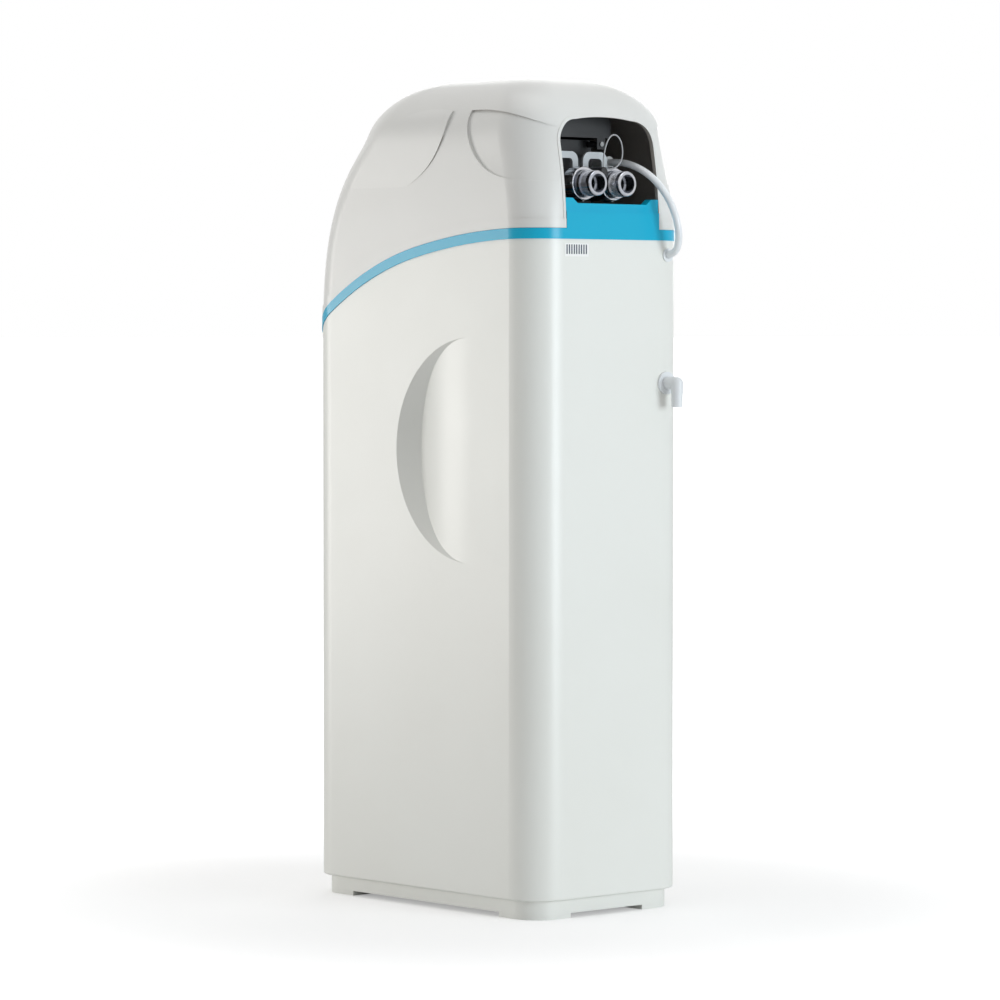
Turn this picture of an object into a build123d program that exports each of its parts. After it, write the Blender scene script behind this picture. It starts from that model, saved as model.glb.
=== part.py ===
import os
from math import atan, atan2, cos, pi, radians, sin, sqrt, tan

from build123d import *

os.makedirs("parts", exist_ok=True)

# Driving dimensions, in millimetres. Z is up from the floor, -Y is the front, +Y is the rear.

# Cabinet shell
cabinet_width = 280
cabinet_depth = 464
corner_radius = 50
shell_wall = 4
lip_height = 25.5
lip_round = 3
plinth_inset = 11
foot_height = 6.5
foot_span_x = 130
foot_span_y = 300

# Blue trim ring
band_height = 14
band_rear_height = 895
band_flat_end = 210
band_upper_radius = 1050
band_upper_turn = 12
band_lower_radius = 520
trim_proud = 1.2
skirt_depth = 10
skirt_gap = 0.2
locator_height = 6
locator_wall = 3
apron_half_width = 83.4
apron_step_height = 22
apron_centre_height = 33
apron_horn_height = 40
apron_thickness = 12
apron_setback = 2.5
apron_scoop_half_width = 62
apron_slope = 9

# Hood
hood_top = 1110
hood_wall = 4
hood_seam = 0.4
hood_shoulder_height = 1035
hood_shoulder_inset = 80
hood_side_spare = 6.5
rear_lean = 13
side_draft = 2
lean_power = 1.5
front_run = 205
front_power = 2.08
front_corner_growth = 32
rear_corner_growth = 18
hood_top_front_corner = 52
hood_top_rear_corner = 42
rim_height = 12
rim_proud = 0.8
rim_inset = 2
window_half_width = 84
window_top = 1057
window_crown = 4
window_corner = 32
window_lip = 4
window_lip_proud = 0.9
panel_depth = 3.2
panel_raise = 2.6
panel_start = 920
panel_full = 1000
panel_raised_full = 1060
panel_margin = 1

# Salt lid in the front slope of the hood
lid_width = 190
lid_length = 258
lid_corner = 22
lid_gap = 1.6
lid_angle = 56
lid_hinge_setback = 128
finger_notch_radius = 34
finger_notch_height = 11
hinge_pin_radius = 1.2
hinge_barrel_radius = 2.8
hinge_fit = 0.08
hinge_slot = 4.2
hinge_half_length = 46
hinge_knuckles = 5
hinge_knuckle_gap = 0.4
hinge_web = 2.2

# Side grips
grip_tangent_y = 104
grip_front_y = -45
grip_centre_z = 616
grip_radius = 150
grip_lean = 52
grip_floor_radius = 363

# Rear fittings on the cabinet
overflow_reach = 30
overflow_x = -97
overflow_z = 705
overflow_flange_radius = 15
overflow_flange_thickness = 3
overflow_thread_radius = 10
overflow_nut_radius = 16
overflow_nut_thickness = 6
overflow_tail = 14
overflow_boss_radius = 18
overflow_boss_depth = 12
elbow_radius = 7.5
elbow_body_radius = 8.3
spout_length = 18
elbow_wall = 2
overflow_thread_gap = 0.1
overflow_socket = 8
overflow_socket_end_gap = 0.3
swivel_end_gap = 0.3
elbow_drop = 32
swivel_fit = 0.08
grommet_x = -99.7
grommet_z = 875.7
grommet_radius = 9
grommet_hole = 7
grommet_flange = 2
grommet_gap = 0.1
grommet_boss_depth = 10
label_width = 43
label_height = 17
label_x = 65.5
label_z = 880.5
label_thickness = 0.3

# Pressure vessel
vessel_radius = 103
vessel_offset = 115
vessel_height = 894
vessel_wall = 4
vessel_dome = 70
vessel_neck_radius = 40
vessel_neck_height = 22
vessel_thread_radius = 31
boot_radius = 100
boot_height = 70
boot_wall = 3
boot_gap = 0.3
riser_radius = 13.5
riser_wall = 2
basket_radius = 24
basket_height = 60
basket_floor = 4
basket_clearance = 0.3
basket_ring_gap = 0.3
basket_slots = 6
slot_width = 1.2
slot_depth = 3
slot_band = 34
upper_basket_radius = 29
upper_basket_height = 46
riser_insert = 12
resin_level = 600
resin_gap = 0.3

# Brine side
well_x = -60
well_offset = -45
well_radius = 40
well_wall = 2.5
well_height = 700
well_gap = 0.3
well_slot_height = 20
well_slot_radius = 3
well_cap_radius = 44
well_cap_skirt = 12
well_cap_thickness = 3
float_radius = 24
float_height = 46
float_round = 6
float_rod_radius = 3
float_rod_end = 24
float_rest = 180
float_valve_radius = 14
float_valve_height = 70
float_valve_seat = 0.3
rod_socket = 24
arm_height = 18
arm_thickness = 10
arm_half_width = 6
pickup_offset = 31
grid_height = 96
grid_thickness = 5
grid_side_gap = 3
grid_front_gap = 8
grid_rear_offset = 4
grid_corner = 30
grid_hole = 4.5
grid_pitch = 18
grid_columns = 13
grid_rows = 11
grid_leg_radius = 9
grid_legs = ((-99, -81), (99, -81), (99, 81), (0, 0), (0, -81))
brine_line_radius = 4.75
brine_line_bore = 3
line_end_gap = 1.2

# Valve body and its two rear ports
port_height = 969
port_spacing = 53
port_radius = 21
port_bore = 13.3
valve_half_width = 46
valve_front_offset = 75
valve_rear_offset = 140
valve_bottom = 921
valve_top = 1030
valve_round = 6
valve_flange_radius = 44
neck_gap = 0.3
post_radius = 4
tab_x = 41
tab_z = 1024
tab_gap = 0.2
tab_half = 7
screw_radius = 1.5
screw_depth = 8
screw_head_radius = 3.2
screw_head_height = 2.2
port_rear_offset = 178
piston_height = 1003
cage_radius = 21
cage_fit = 0.2
cage_wall = 4
cage_rear_offset = 134
piston_radius = 16.7
piston_rod_radius = 4
piston_length = 27
piston_start_offset = 78
piston_grooves = 2
groove_half = 1.5
groove_depth = 2
cage_windows = 3
cage_window_radius = 5
end_cap_radius = 25
end_cap_thickness = 4

# Stub connectors, union nuts and clips
stub_radius = 16.6
stub_bore = 10.5
stub_end_offset = 232
stub_mouth_bore = 12.4
stub_mouth_depth = 18
stub_chamfer = 1
spigot_radius = 13
spigot_front_offset = 146
spigot_gap = 0.3
flange_radius = 18.5
flange_thickness = 4
collar_radius = 18.6
collar_length = 5
collar_offset = 209
nut_radius = 22.5
nut_offset = 185
nut_length = 21
nut_gap = 0.3
nut_round = 1.6
nut_ribs = 12
nut_rib_radius = 2.6
nut_rib_height = 0.7
nut_rib_end = 3
seal_groove_radius = 11.8
seal_width = 2.4
seal_gap = 0.1
seal_offsets = (5, 11)
clip_width = 44
clip_slot = 24.6
clip_top = 1013
clip_bottom = 952
clip_bar = 9
clip_thickness = 3
clip_offset = 166
clip_round = 12
clip_inner_round = 6
clip_fit = 0.3

# Meter turbine and sensor
turbine_radius = 11.5
turbine_hub = 3
turbine_length = 8
turbine_blades = 5
turbine_offset = 128.5
turbine_tip_gap = 0.5
turbine_end_gap = 0.3
turbine_pin_seat = 3
blade_thickness = 1.2
blade_tip = 0.4
turbine_pin_radius = 0.8
turbine_fit = 0.06
sensor_x = 0
sensor_radius = 6
sensor_step = 1.5
sensor_round = 1.5
sensor_z = 985.2
sensor_front_offset = 178
sensor_rear_offset = 216

# Control head
housing_left = -62
housing_right = 78
housing_rear_offset = 165
housing_bottom = 1032
housing_top = 1092
housing_drop = 960
housing_drop_offset = 71
housing_front_offset = -25
housing_top_front_offset = 10
housing_wall = 2.5
housing_round = 5
screw_gap = 0.2
panel_centre_z = 1024
panel_seat = 4
gear_teeth = 48
pinion_teeth = 12
gear_module = 1.5
pressure_angle = 25
gear_backlash = 0.3
gear_addendum = 0.8
gear_dedendum = 1.1
gear_centre_gap = 0.15
flank_points = 5
gear_offset = 58
gear_width = 6
gear_holes = 6
gear_hole_circle = 23
gear_hole_radius = 6
hub_radius = 11
hub_length = 6
motor_radius = 18
motor_round = 3
motor_length = 22
motor_offset = 24
motor_shaft_radius = 2.5
shaft_fit = 0.06
shaft_reach = 10
shaft_end_gap = 0.3
bracket_offset = 46
bracket_thickness = 3
bracket_side_gap = 0.2
bracket_bottom = 970
bracket_top = 1084
bracket_hole_gap = 2
bracket_post_x = 42
bracket_post_z = 1020
bracket_low_post_z = 976
panel_width = 104
panel_height = 78
panel_thickness = 3
panel_corner = 8
display_width = 56
display_height = 24
display_lift = 14
display_thickness = 1.6
display_corner = 3
board_gap = 6
board_thickness = 1.6
board_inset = 9
board_post_radius = 2.5
button_radius = 5
button_gap = 0.3
button_count = 4
button_pitch = 20
button_drop = -20
button_height = 6.2
button_flange = 6.4
button_flange_thickness = 1
button_round = 0.6
button_proud = 1.6
inlet_x = 58
inlet_z = 1062
inlet_radius = 5.5
inlet_step = 1.5
inlet_gap = 0.2
inlet_bore = 2.8
inlet_pin_radius = 0.8
inlet_length = 12

# Hose from the valve to the cabinet's rear wall
hose_diameter = 9.5
hose_fitting_radius = 7
hose_fitting_offset = 124
collet_length = 8
collet_radius = 8.5
fitting_step = 1.5
hose_start_x = -61
hose_start_offset = 160
hose_start_z = 1000
lead_diameter = 2
lead_offset = 211
bend_share = 0.45

# Planes and centres that the pieces share
side_x = cabinet_width / 2
mid_y = (trim_proud - overflow_reach) / 2
rear_y = mid_y + cabinet_depth / 2
front_y = mid_y - cabinet_depth / 2
floor_z = foot_height + shell_wall
vessel_y = mid_y + vessel_offset
vessel_top = floor_z + vessel_height
well_y = mid_y + well_offset
port_xs = (port_spacing / 2, -port_spacing / 2)


def export(piece, name):
    piece.label = name
    export_step(piece, "parts/" + name + ".step")


def rod_x(x_from, x_to, y, z, radius, mode=Mode.ADD):
    with Locations(((x_from + x_to) / 2, y, z)):
        Cylinder(radius, abs(x_to - x_from), rotation=(0, 90, 0), mode=mode)


def rod_y(x, y_from, y_to, z, radius, mode=Mode.ADD):
    with Locations((x, (y_from + y_to) / 2, z)):
        Cylinder(radius, abs(y_to - y_from), rotation=(90, 0, 0), mode=mode)


def rod_z(x, y, z_from, z_to, radius, mode=Mode.ADD):
    with Locations((x, y, (z_from + z_to) / 2)):
        Cylinder(radius, abs(z_to - z_from), mode=mode)


def block(x_span, y_span, z_span, mode=Mode.ADD):
    with Locations((sum(x_span) / 2, sum(y_span) / 2, sum(z_span) / 2)):
        Box(x_span[1] - x_span[0], y_span[1] - y_span[0], z_span[1] - z_span[0], mode=mode)


def upright(width, depth, corner, z_from, z_to, mode=Mode.ADD):
    with BuildSketch(Plane.XY.offset(z_from)) as plan:
        with Locations((0, mid_y)):
            RectangleRounded(width, depth, corner)
    extrude(plan.sketch, amount=z_to - z_from, mode=mode)


# The band curve in side view: flat at the rear, then two tangent arcs falling to the front.
band_turn = radians(band_upper_turn)
band_start_y = mid_y + band_flat_end
band_joint_y = band_start_y - band_upper_radius * sin(band_turn)
band_joint_z = band_rear_height - band_upper_radius * (1 - cos(band_turn))
band_centre_y = band_joint_y + band_lower_radius * sin(band_turn)
band_centre_z = band_joint_z - band_lower_radius * cos(band_turn)
band_reach = 30


def band_z(y):
    if y >= band_start_y:
        return band_rear_height
    if y >= band_joint_y:
        drop = band_start_y - y
        return band_rear_height - band_upper_radius + sqrt(band_upper_radius**2 - drop**2)
    return band_centre_z + sqrt(band_lower_radius**2 - (band_centre_y - y) ** 2)


def band_zone(low, high):
    """Everything between two copies of the band curve, shifted up by low and by high."""
    ends = (front_y - band_reach, rear_y + band_reach)
    mids = ((ends[0] + band_joint_y) / 2, (band_joint_y + band_start_y) / 2)
    with BuildPart() as zone:
        with BuildSketch(Plane.YZ.offset(-cabinet_width)):
            with BuildLine():
                for lift in (low, high):
                    at = [(y, band_z(y) + lift) for y in (ends[0], mids[0], band_joint_y)]
                    ThreePointArc(*at)
                    at = [(y, band_z(y) + lift) for y in (band_joint_y, mids[1], band_start_y)]
                    ThreePointArc(*at)
                    Line((band_start_y, band_z(ends[1]) + lift), (ends[1], band_z(ends[1]) + lift))
                for y in ends:
                    Line((y, band_z(y) + low), (y, band_z(y) + high))
            make_face()
        extrude(amount=2 * cabinet_width)
    return zone.part


def grip_recess(grow):
    """One crescent grip on the +X side, or its larger backing when grow is the wall."""
    tangent_y = mid_y + grip_tangent_y + grow
    centre_y = mid_y + grip_front_y + grip_radius
    flush = side_x - grow
    end_y = mid_y + grip_front_y - grip_radius / 4
    reach = tangent_y - end_y
    deep = grip_floor_radius - sqrt(grip_floor_radius**2 - reach**2)
    half = grip_floor_radius - sqrt(grip_floor_radius**2 - (reach / 2) ** 2)
    with BuildPart() as recess:
        with BuildSketch(Plane.XY.offset(grip_centre_z - 2 * grip_radius)):
            with BuildLine():
                ThreePointArc(
                    (flush, tangent_y), (flush - half, tangent_y - reach / 2), (flush - deep, end_y)
                )
                Polyline(
                    (flush - deep, end_y), (side_x + 1, end_y), (side_x + 1, tangent_y), (flush, tangent_y)
                )
            make_face()
        extrude(amount=4 * grip_radius)
        mouth = grip_radius + grow
        height = mouth * tan(radians(90 - grip_lean))
        with Locations((side_x - height / 2, centre_y, grip_centre_z)):
            Cone(0.01, mouth, height, rotation=(0, 90, 0), mode=Mode.INTERSECT)
    return recess.part


# Cabinet shell: the tall white box with its plinth, feet, grips and rear holes
with BuildPart() as cabinet_interior:
    inner_corner = corner_radius - shell_wall
    upright(
        cabinet_width - 2 * shell_wall,
        cabinet_depth - 2 * shell_wall,
        inner_corner,
        lip_height + shell_wall,
        hood_top,
    )
    plinth_wall = plinth_inset + shell_wall
    upright(
        cabinet_width - 2 * plinth_wall,
        cabinet_depth - 2 * plinth_wall,
        corner_radius - plinth_wall,
        floor_z,
        lip_height + shell_wall,
    )
    backing = grip_recess(shell_wall)
    add(backing, mode=Mode.SUBTRACT)
    add(mirror(backing, about=Plane.YZ, mode=Mode.PRIVATE), mode=Mode.SUBTRACT)

with BuildPart() as cabinet_shell:
    upright(cabinet_width, cabinet_depth, corner_radius, lip_height, band_rear_height)
    fillet(cabinet_shell.edges().group_by(Axis.Z)[0], lip_round)
    plinth_width = cabinet_width - 2 * plinth_inset
    plinth_depth = cabinet_depth - 2 * plinth_inset
    upright(plinth_width, plinth_depth, corner_radius - plinth_inset, foot_height, lip_height)
    with BuildSketch():
        with Locations((0, mid_y)):
            RectangleRounded(plinth_width, plinth_depth, corner_radius - plinth_inset)
            Rectangle(foot_span_x, plinth_depth, mode=Mode.SUBTRACT)
            Rectangle(plinth_width, foot_span_y, mode=Mode.SUBTRACT)
    extrude(amount=foot_height)
    add(band_zone(0, cabinet_depth), mode=Mode.SUBTRACT)
    grip = grip_recess(0)
    add(grip, mode=Mode.SUBTRACT)
    add(mirror(grip, about=Plane.YZ, mode=Mode.PRIVATE), mode=Mode.SUBTRACT)
    add(cabinet_interior.part, mode=Mode.SUBTRACT)
    overflow_seat = rear_y - overflow_boss_depth
    grommet_seat = rear_y - grommet_boss_depth
    rod_y(overflow_x, overflow_seat, rear_y, overflow_z, overflow_boss_radius)
    rod_y(grommet_x, grommet_seat, rear_y, grommet_z, grommet_radius)
    rod_y(overflow_x, overflow_seat, rear_y, overflow_z, overflow_thread_radius, Mode.SUBTRACT)
    rod_y(grommet_x, grommet_seat, rear_y, grommet_z, grommet_hole, Mode.SUBTRACT)
export(cabinet_shell.part, "cabinet_shell")

# Trim ring: blue band, inner skirt, hood locator and the stepped apron in the rear window
skirt_inset = shell_wall + skirt_gap
locator_inset = hood_wall + 1
locator_side_inset = locator_inset + hood_side_spare
apron_rear = rear_y + trim_proud
ring_top = band_rear_height + band_height

with BuildPart() as ring_core:
    core_width = cabinet_width - 2 * (locator_side_inset + locator_wall)
    core_depth = cabinet_depth - 2 * (locator_inset + locator_wall)
    upright(core_width, core_depth, corner_radius - locator_inset - locator_wall, 0, hood_top)

with BuildPart() as ring_skirt:
    skirt_width = cabinet_width - 2 * skirt_inset
    skirt_length = cabinet_depth - 2 * skirt_inset
    upright(skirt_width, skirt_length, corner_radius - skirt_inset, 0, hood_top)
    add(band_zone(-skirt_depth, 0), mode=Mode.INTERSECT)

with BuildPart() as ring_locator:
    locator_width = cabinet_width - 2 * locator_side_inset
    locator_length = cabinet_depth - 2 * locator_inset
    upright(locator_width, locator_length, corner_radius - locator_inset, 0, hood_top)
    add(band_zone(band_height, band_height + locator_height), mode=Mode.INTERSECT)

with BuildPart() as trim_ring:
    band_width = cabinet_width + 2 * trim_proud
    band_depth = cabinet_depth + 2 * trim_proud
    upright(band_width, band_depth, corner_radius + trim_proud, 0, hood_top)
    add(band_zone(0, band_height), mode=Mode.INTERSECT)
    add(ring_skirt.part)
    add(ring_locator.part)
    add(ring_core.part, mode=Mode.SUBTRACT)
    with BuildSketch(Plane.XZ.offset(-(apron_rear - apron_setback))):
        with BuildLine():
            scoop_edge = apron_scoop_half_width + apron_slope
            Polyline(
                (-apron_half_width, ring_top - band_height),
                (-apron_half_width, ring_top + apron_horn_height),
                (-scoop_edge, ring_top + apron_horn_height),
                (-apron_scoop_half_width, ring_top + apron_centre_height),
                (apron_scoop_half_width, ring_top + apron_centre_height),
                (scoop_edge, ring_top + apron_horn_height),
                (apron_half_width, ring_top + apron_horn_height),
                (apron_half_width, ring_top - band_height),
                close=True,
            )
        make_face()
    extrude(amount=apron_thickness)
    step_y = (apron_rear - apron_thickness, apron_rear)
    step_z = (ring_top - band_height, ring_top + apron_step_height)
    block((-apron_half_width, apron_half_width), step_y, step_z)
export(trim_ring.part, "trim_ring")


# Hood: one white shell, its body lofted through level sections
front_start = band_z(front_y) + band_height
wall_levels = 6
dome_levels = 7


def front_setback(height, top):
    rise = max(0, (height - front_start) / (top - front_start))
    return front_run * (1 - (1 - min(1, rise) ** front_power) ** (1 / front_power))


def hood_section(height, inset, side_inset, top):
    """One level outline of the hood, inset from its outer face."""
    shoulder = max(0, (height - hood_shoulder_height) / (top - hood_shoulder_height))
    roll = hood_shoulder_inset * (1 - sqrt(1 - min(1, shoulder) ** 2))
    climb = (max(0, height - ring_top) / (hood_shoulder_height - ring_top)) ** lean_power
    half = side_x - side_inset - side_draft * climb - roll
    rear = rear_y - inset - rear_lean * climb - roll
    front = front_y + inset + front_setback(height, top)
    grown = min(1, climb)
    front_corner = corner_radius - inset + front_corner_growth * grown
    rear_corner = corner_radius - inset + rear_corner_growth * grown
    front_corner += (hood_top_front_corner - front_corner) * shoulder
    rear_corner += (hood_top_rear_corner - rear_corner) * shoulder
    with BuildSketch(Plane.XY.offset(height)) as section:
        with BuildLine():
            Line((rear_corner - half, rear), (half - rear_corner, rear))
            CenterArc((half - rear_corner, rear - rear_corner), rear_corner, 90, -90)
            Line((half, rear - rear_corner), (half, front + front_corner))
            CenterArc((half - front_corner, front + front_corner), front_corner, 0, -90)
            Line((half - front_corner, front), (front_corner - half, front))
            CenterArc((front_corner - half, front + front_corner), front_corner, -90, -90)
            Line((-half, front + front_corner), (-half, rear - rear_corner))
            CenterArc((rear_corner - half, rear - rear_corner), rear_corner, 180, -90)
        make_face()
    return section.sketch


def hood_form(inset, side_inset):
    top = hood_top - inset
    base = front_start - 2 * band_height
    heights = [base + (hood_shoulder_height - base) * i / wall_levels for i in range(wall_levels)]
    for i in range(dome_levels):
        turn = pi / 2 * i / (dome_levels - 1)
        heights.append(hood_shoulder_height + (top - hood_shoulder_height) * sin(turn))
    sections = [hood_section(height, inset, side_inset, top) for height in heights]
    with BuildPart() as form:
        loft(sections)
    return form.part


hood_outer = hood_form(0, 0)
hood_inner = hood_form(hood_wall, hood_wall + hood_side_spare)
hood_proud = hood_form(-window_lip_proud, -window_lip_proud)


def side_slab(runs):
    """A slab across the hood whose side view is closed by straight and smooth runs."""
    with BuildPart() as slab:
        with BuildSketch(Plane.YZ):
            with BuildLine():
                for run in runs:
                    spots = [(mid_y + y, z) for y, z in run]
                    if len(spots) == 2:
                        Line(*spots)
                    else:
                        Spline(*spots)
            make_face()
        extrude(amount=cabinet_width, both=True)
    return slab.part


# Side panels: where they lie in side view, the front one raised and the rear one recessed
front_panel = side_slab(
    (
        ((62, 1066), (51, 1035), (22, 996), (-29, 966), (-102, 940), (-150, 918)),
        ((-150, 918), (-196, 918)),
        ((-196, 918), (-168, 960), (-112, 1018), (-73, 1045), (-35, 1061), (62, 1066)),
    )
)
rear_panel = side_slab(
    (
        ((98, 1066), (96, 1045), (104, 1018), (131, 989), (178, 974), (240, 968)),
        ((240, 968), (246, 1010)),
        ((246, 1010), (222, 1038), (180, 1058), (98, 1066)),
    )
)
core_top = hood_top - 22
core_levels = 10


def panel_form(step, full):
    """The hood's sides moved in by step, or out where it is negative, from nothing at the panel's start."""
    sections = []
    margin = panel_margin if step > 0 else -panel_margin
    for i in range(core_levels):
        level = panel_start - 40 + (core_top - panel_start + 40) * i / (core_levels - 1)
        fade = min(1, max(0, (level - panel_start) / (full - panel_start)))
        shift = (step + margin) * fade * fade * (3 - 2 * fade) - margin
        sections.append(hood_section(level, -panel_margin / 2 if step > 0 else 0, shift, hood_top))
    with BuildPart() as form:
        loft(sections)
    return form.part


with BuildPart() as panel_cut:
    add(rear_panel)
    add(panel_form(panel_depth, panel_full), mode=Mode.SUBTRACT)

with BuildPart() as panel_pad:
    add(front_panel)
    add(panel_form(-panel_raise, panel_raised_full), mode=Mode.INTERSECT)

# The rear window, open at the bottom, and the frame that its raised lip fills
def window_outline(grow):
    half = window_half_width + grow
    corner = window_corner + grow
    with BuildSketch(Plane.XZ.offset(-(rear_y + 2 * hood_wall))) as outline:
        with BuildLine():
            crown = window_top + grow
            shoulder = crown - window_crown - corner
            Line((-half, 0), (half, 0))
            Line((half, 0), (half, shoulder))
            Line((-half, 0), (-half, shoulder))
            turn = corner * (1 - sqrt(0.5))
            ThreePointArc(
                (half, shoulder), (half - turn, shoulder + corner - turn), (half - corner, shoulder + corner)
            )
            ThreePointArc(
                (-half, shoulder),
                (turn - half, shoulder + corner - turn),
                (corner - half, shoulder + corner),
            )
            ThreePointArc((corner - half, shoulder + corner), (0, crown), (half - corner, shoulder + corner))
        make_face()
    return outline.sketch


window_reach = 2 * hood_wall + rear_lean + 4 * hood_wall
with BuildPart() as window_cut:
    extrude(window_outline(0), amount=window_reach)

with BuildPart() as window_frame:
    extrude(window_outline(window_lip), amount=window_reach)
    add(hood_proud, mode=Mode.INTERSECT)
    add(hood_inner, mode=Mode.SUBTRACT)
    add(band_zone(-cabinet_depth, band_height + hood_seam + rim_height), mode=Mode.SUBTRACT)

with BuildPart() as hood_rim:
    rim_width = cabinet_width + 2 * rim_proud
    rim_depth = cabinet_depth + 2 * rim_proud
    upright(rim_width, rim_depth, corner_radius + rim_proud, 0, hood_top)
    rim_hole_width = cabinet_width - 2 * rim_inset
    rim_hole_depth = cabinet_depth - 2 * rim_inset
    upright(rim_hole_width, rim_hole_depth, corner_radius - rim_inset, 0, hood_top, Mode.SUBTRACT)
    rim_base = band_height + hood_seam
    add(band_zone(rim_base, rim_base + rim_height), mode=Mode.INTERSECT)

# The lid's place: a plane through the hinge line, leaning along the front slope
hinge_y = front_y + lid_hinge_setback
hinge_share = 1 - (1 - lid_hinge_setback / front_run) ** front_power
hinge_z = front_start + (hood_top - front_start) * hinge_share ** (1 / front_power)
lid_turn = radians(lid_angle)
lid_plane = Plane(origin=(0, hinge_y, hinge_z), x_dir=(1, 0, 0), z_dir=(0, -sin(lid_turn), cos(lid_turn)))
lid_depth = 2 * hood_wall + lid_length / 4


def lid_prism(gap):
    """The lid's outline, or its opening when gap is the seam round it."""
    with BuildPart() as prism:
        with BuildSketch(lid_plane):
            with Locations((0, -lid_length / 2 - lid_gap / 2)):
                RectangleRounded(lid_width + 2 * gap, lid_length + 2 * gap, lid_corner + gap)
        extrude(amount=lid_depth, both=True)
    return prism.part


def hinge_channel():
    with BuildPart() as channel:
        with BuildSketch(lid_plane):
            Rectangle(2 * hinge_half_length + 2 * hinge_knuckle_gap, 2 * hinge_slot)
        extrude(amount=4 * hood_wall, both=True)
    return channel.part


def knuckles(first):
    """Every second hinge knuckle with the web that ties it to its leaf, from first onward."""
    pitch = 2 * hinge_half_length / hinge_knuckles
    with BuildPart() as leaf:
        for i in range(first, hinge_knuckles, 2):
            x = -hinge_half_length + pitch * (i + 0.5)
            side = -1 if first else 1
            with BuildSketch(Plane.YZ.offset(x - pitch / 2 + hinge_knuckle_gap / 2)):
                with Locations((hinge_y, hinge_z)):
                    Circle(hinge_barrel_radius)
                with Locations(Location((hinge_y, hinge_z), lid_angle)):
                    reach = hinge_slot + hood_wall
                    with Locations((side * reach / 2, -hinge_barrel_radius + hinge_web / 2)):
                        Rectangle(reach, hinge_web)
                with Locations((hinge_y, hinge_z)):
                    Circle(hinge_pin_radius + hinge_fit, mode=Mode.SUBTRACT)
            extrude(amount=pitch - hinge_knuckle_gap)
    return leaf.part


with BuildPart() as finger_notch:
    with BuildSketch(lid_plane):
        with Locations((0, -lid_length - lid_gap / 2 + finger_notch_radius - finger_notch_height)):
            Circle(finger_notch_radius)
        with Locations((0, -lid_length / 2)):
            Rectangle(lid_width, lid_length - lid_gap, mode=Mode.SUBTRACT)
    extrude(amount=lid_depth, both=True)

with BuildPart() as hood:
    add(hood_outer)
    add(panel_pad.part)
    add(panel_cut.part, mode=Mode.SUBTRACT)
    add(hood_inner, mode=Mode.SUBTRACT)
    add(band_zone(-cabinet_depth, band_height + hood_seam), mode=Mode.SUBTRACT)
    add(hood_rim.part)
    add(window_frame.part)
    add(window_cut.part, mode=Mode.SUBTRACT)
    add(lid_prism(lid_gap), mode=Mode.SUBTRACT)
    add(hinge_channel(), mode=Mode.SUBTRACT)
    add(finger_notch.part, mode=Mode.SUBTRACT)
    add(knuckles(0))
export(hood.part, "hood")

# Salt lid: the piece of the front slope that hinges up for filling
with BuildPart() as salt_lid:
    add(hood_outer)
    add(hood_inner, mode=Mode.SUBTRACT)
    add(lid_prism(0), mode=Mode.INTERSECT)
    add(hinge_channel(), mode=Mode.SUBTRACT)
    add(knuckles(1))
export(salt_lid.part, "salt_lid")

with BuildPart() as lid_hinge_pin:
    rod_x(-hinge_half_length, hinge_half_length, hinge_y, hinge_z, hinge_pin_radius)
export(lid_hinge_pin.part, "lid_hinge_pin")

# Rear label, overflow fitting, swivelling elbow and hose grommet on the rear wall
with BuildPart() as rear_label:
    label_span_x = (label_x - label_width / 2, label_x + label_width / 2)
    label_span_z = (label_z - label_height / 2, label_z + label_height / 2)
    block(label_span_x, (rear_y, rear_y + label_thickness), label_span_z)
export(rear_label.part, "rear_label")

swivel_bore = elbow_radius - elbow_wall
flange_rear = rear_y + overflow_flange_thickness
with BuildPart() as overflow_bulkhead:
    rod_y(overflow_x, rear_y, flange_rear, overflow_z, overflow_flange_radius)
    tail_end = overflow_seat - overflow_tail
    rod_y(overflow_x, tail_end, rear_y, overflow_z, overflow_thread_radius - overflow_thread_gap)
    socket = elbow_radius + swivel_fit
    rod_y(overflow_x, tail_end, flange_rear, overflow_z, swivel_bore, Mode.SUBTRACT)
    rod_y(overflow_x, flange_rear - overflow_socket, flange_rear, overflow_z, socket, Mode.SUBTRACT)
export(overflow_bulkhead.part, "overflow_bulkhead")

with BuildPart() as overflow_nut:
    with BuildSketch(Plane.XZ.offset(-overflow_seat)):
        with Locations((overflow_x, overflow_z)):
            RegularPolygon(overflow_nut_radius, 6)
            Circle(overflow_thread_radius, mode=Mode.SUBTRACT)
    extrude(amount=overflow_nut_thickness)
export(overflow_nut.part, "overflow_nut")

with BuildPart() as overflow_elbow:
    spout_y = rear_y + overflow_reach - elbow_body_radius
    spout_end = overflow_z - elbow_drop
    neck_start = flange_rear - overflow_socket + overflow_socket_end_gap
    rod_y(overflow_x, neck_start, spout_y, overflow_z, elbow_radius)
    rod_z(overflow_x, spout_y, spout_end, overflow_z, elbow_radius)
    rod_y(overflow_x, flange_rear + swivel_end_gap, spout_y, overflow_z, elbow_body_radius)
    rod_z(overflow_x, spout_y, spout_end + spout_length, overflow_z, elbow_body_radius)
    with Locations((overflow_x, spout_y, overflow_z)):
        Sphere(elbow_body_radius)
    rod_y(overflow_x, neck_start, spout_y, overflow_z, swivel_bore, Mode.SUBTRACT)
    rod_z(overflow_x, spout_y, spout_end, overflow_z, swivel_bore, Mode.SUBTRACT)
    with Locations((overflow_x, spout_y, overflow_z)):
        Sphere(swivel_bore, mode=Mode.SUBTRACT)
export(overflow_elbow.part, "overflow_elbow")

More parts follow.
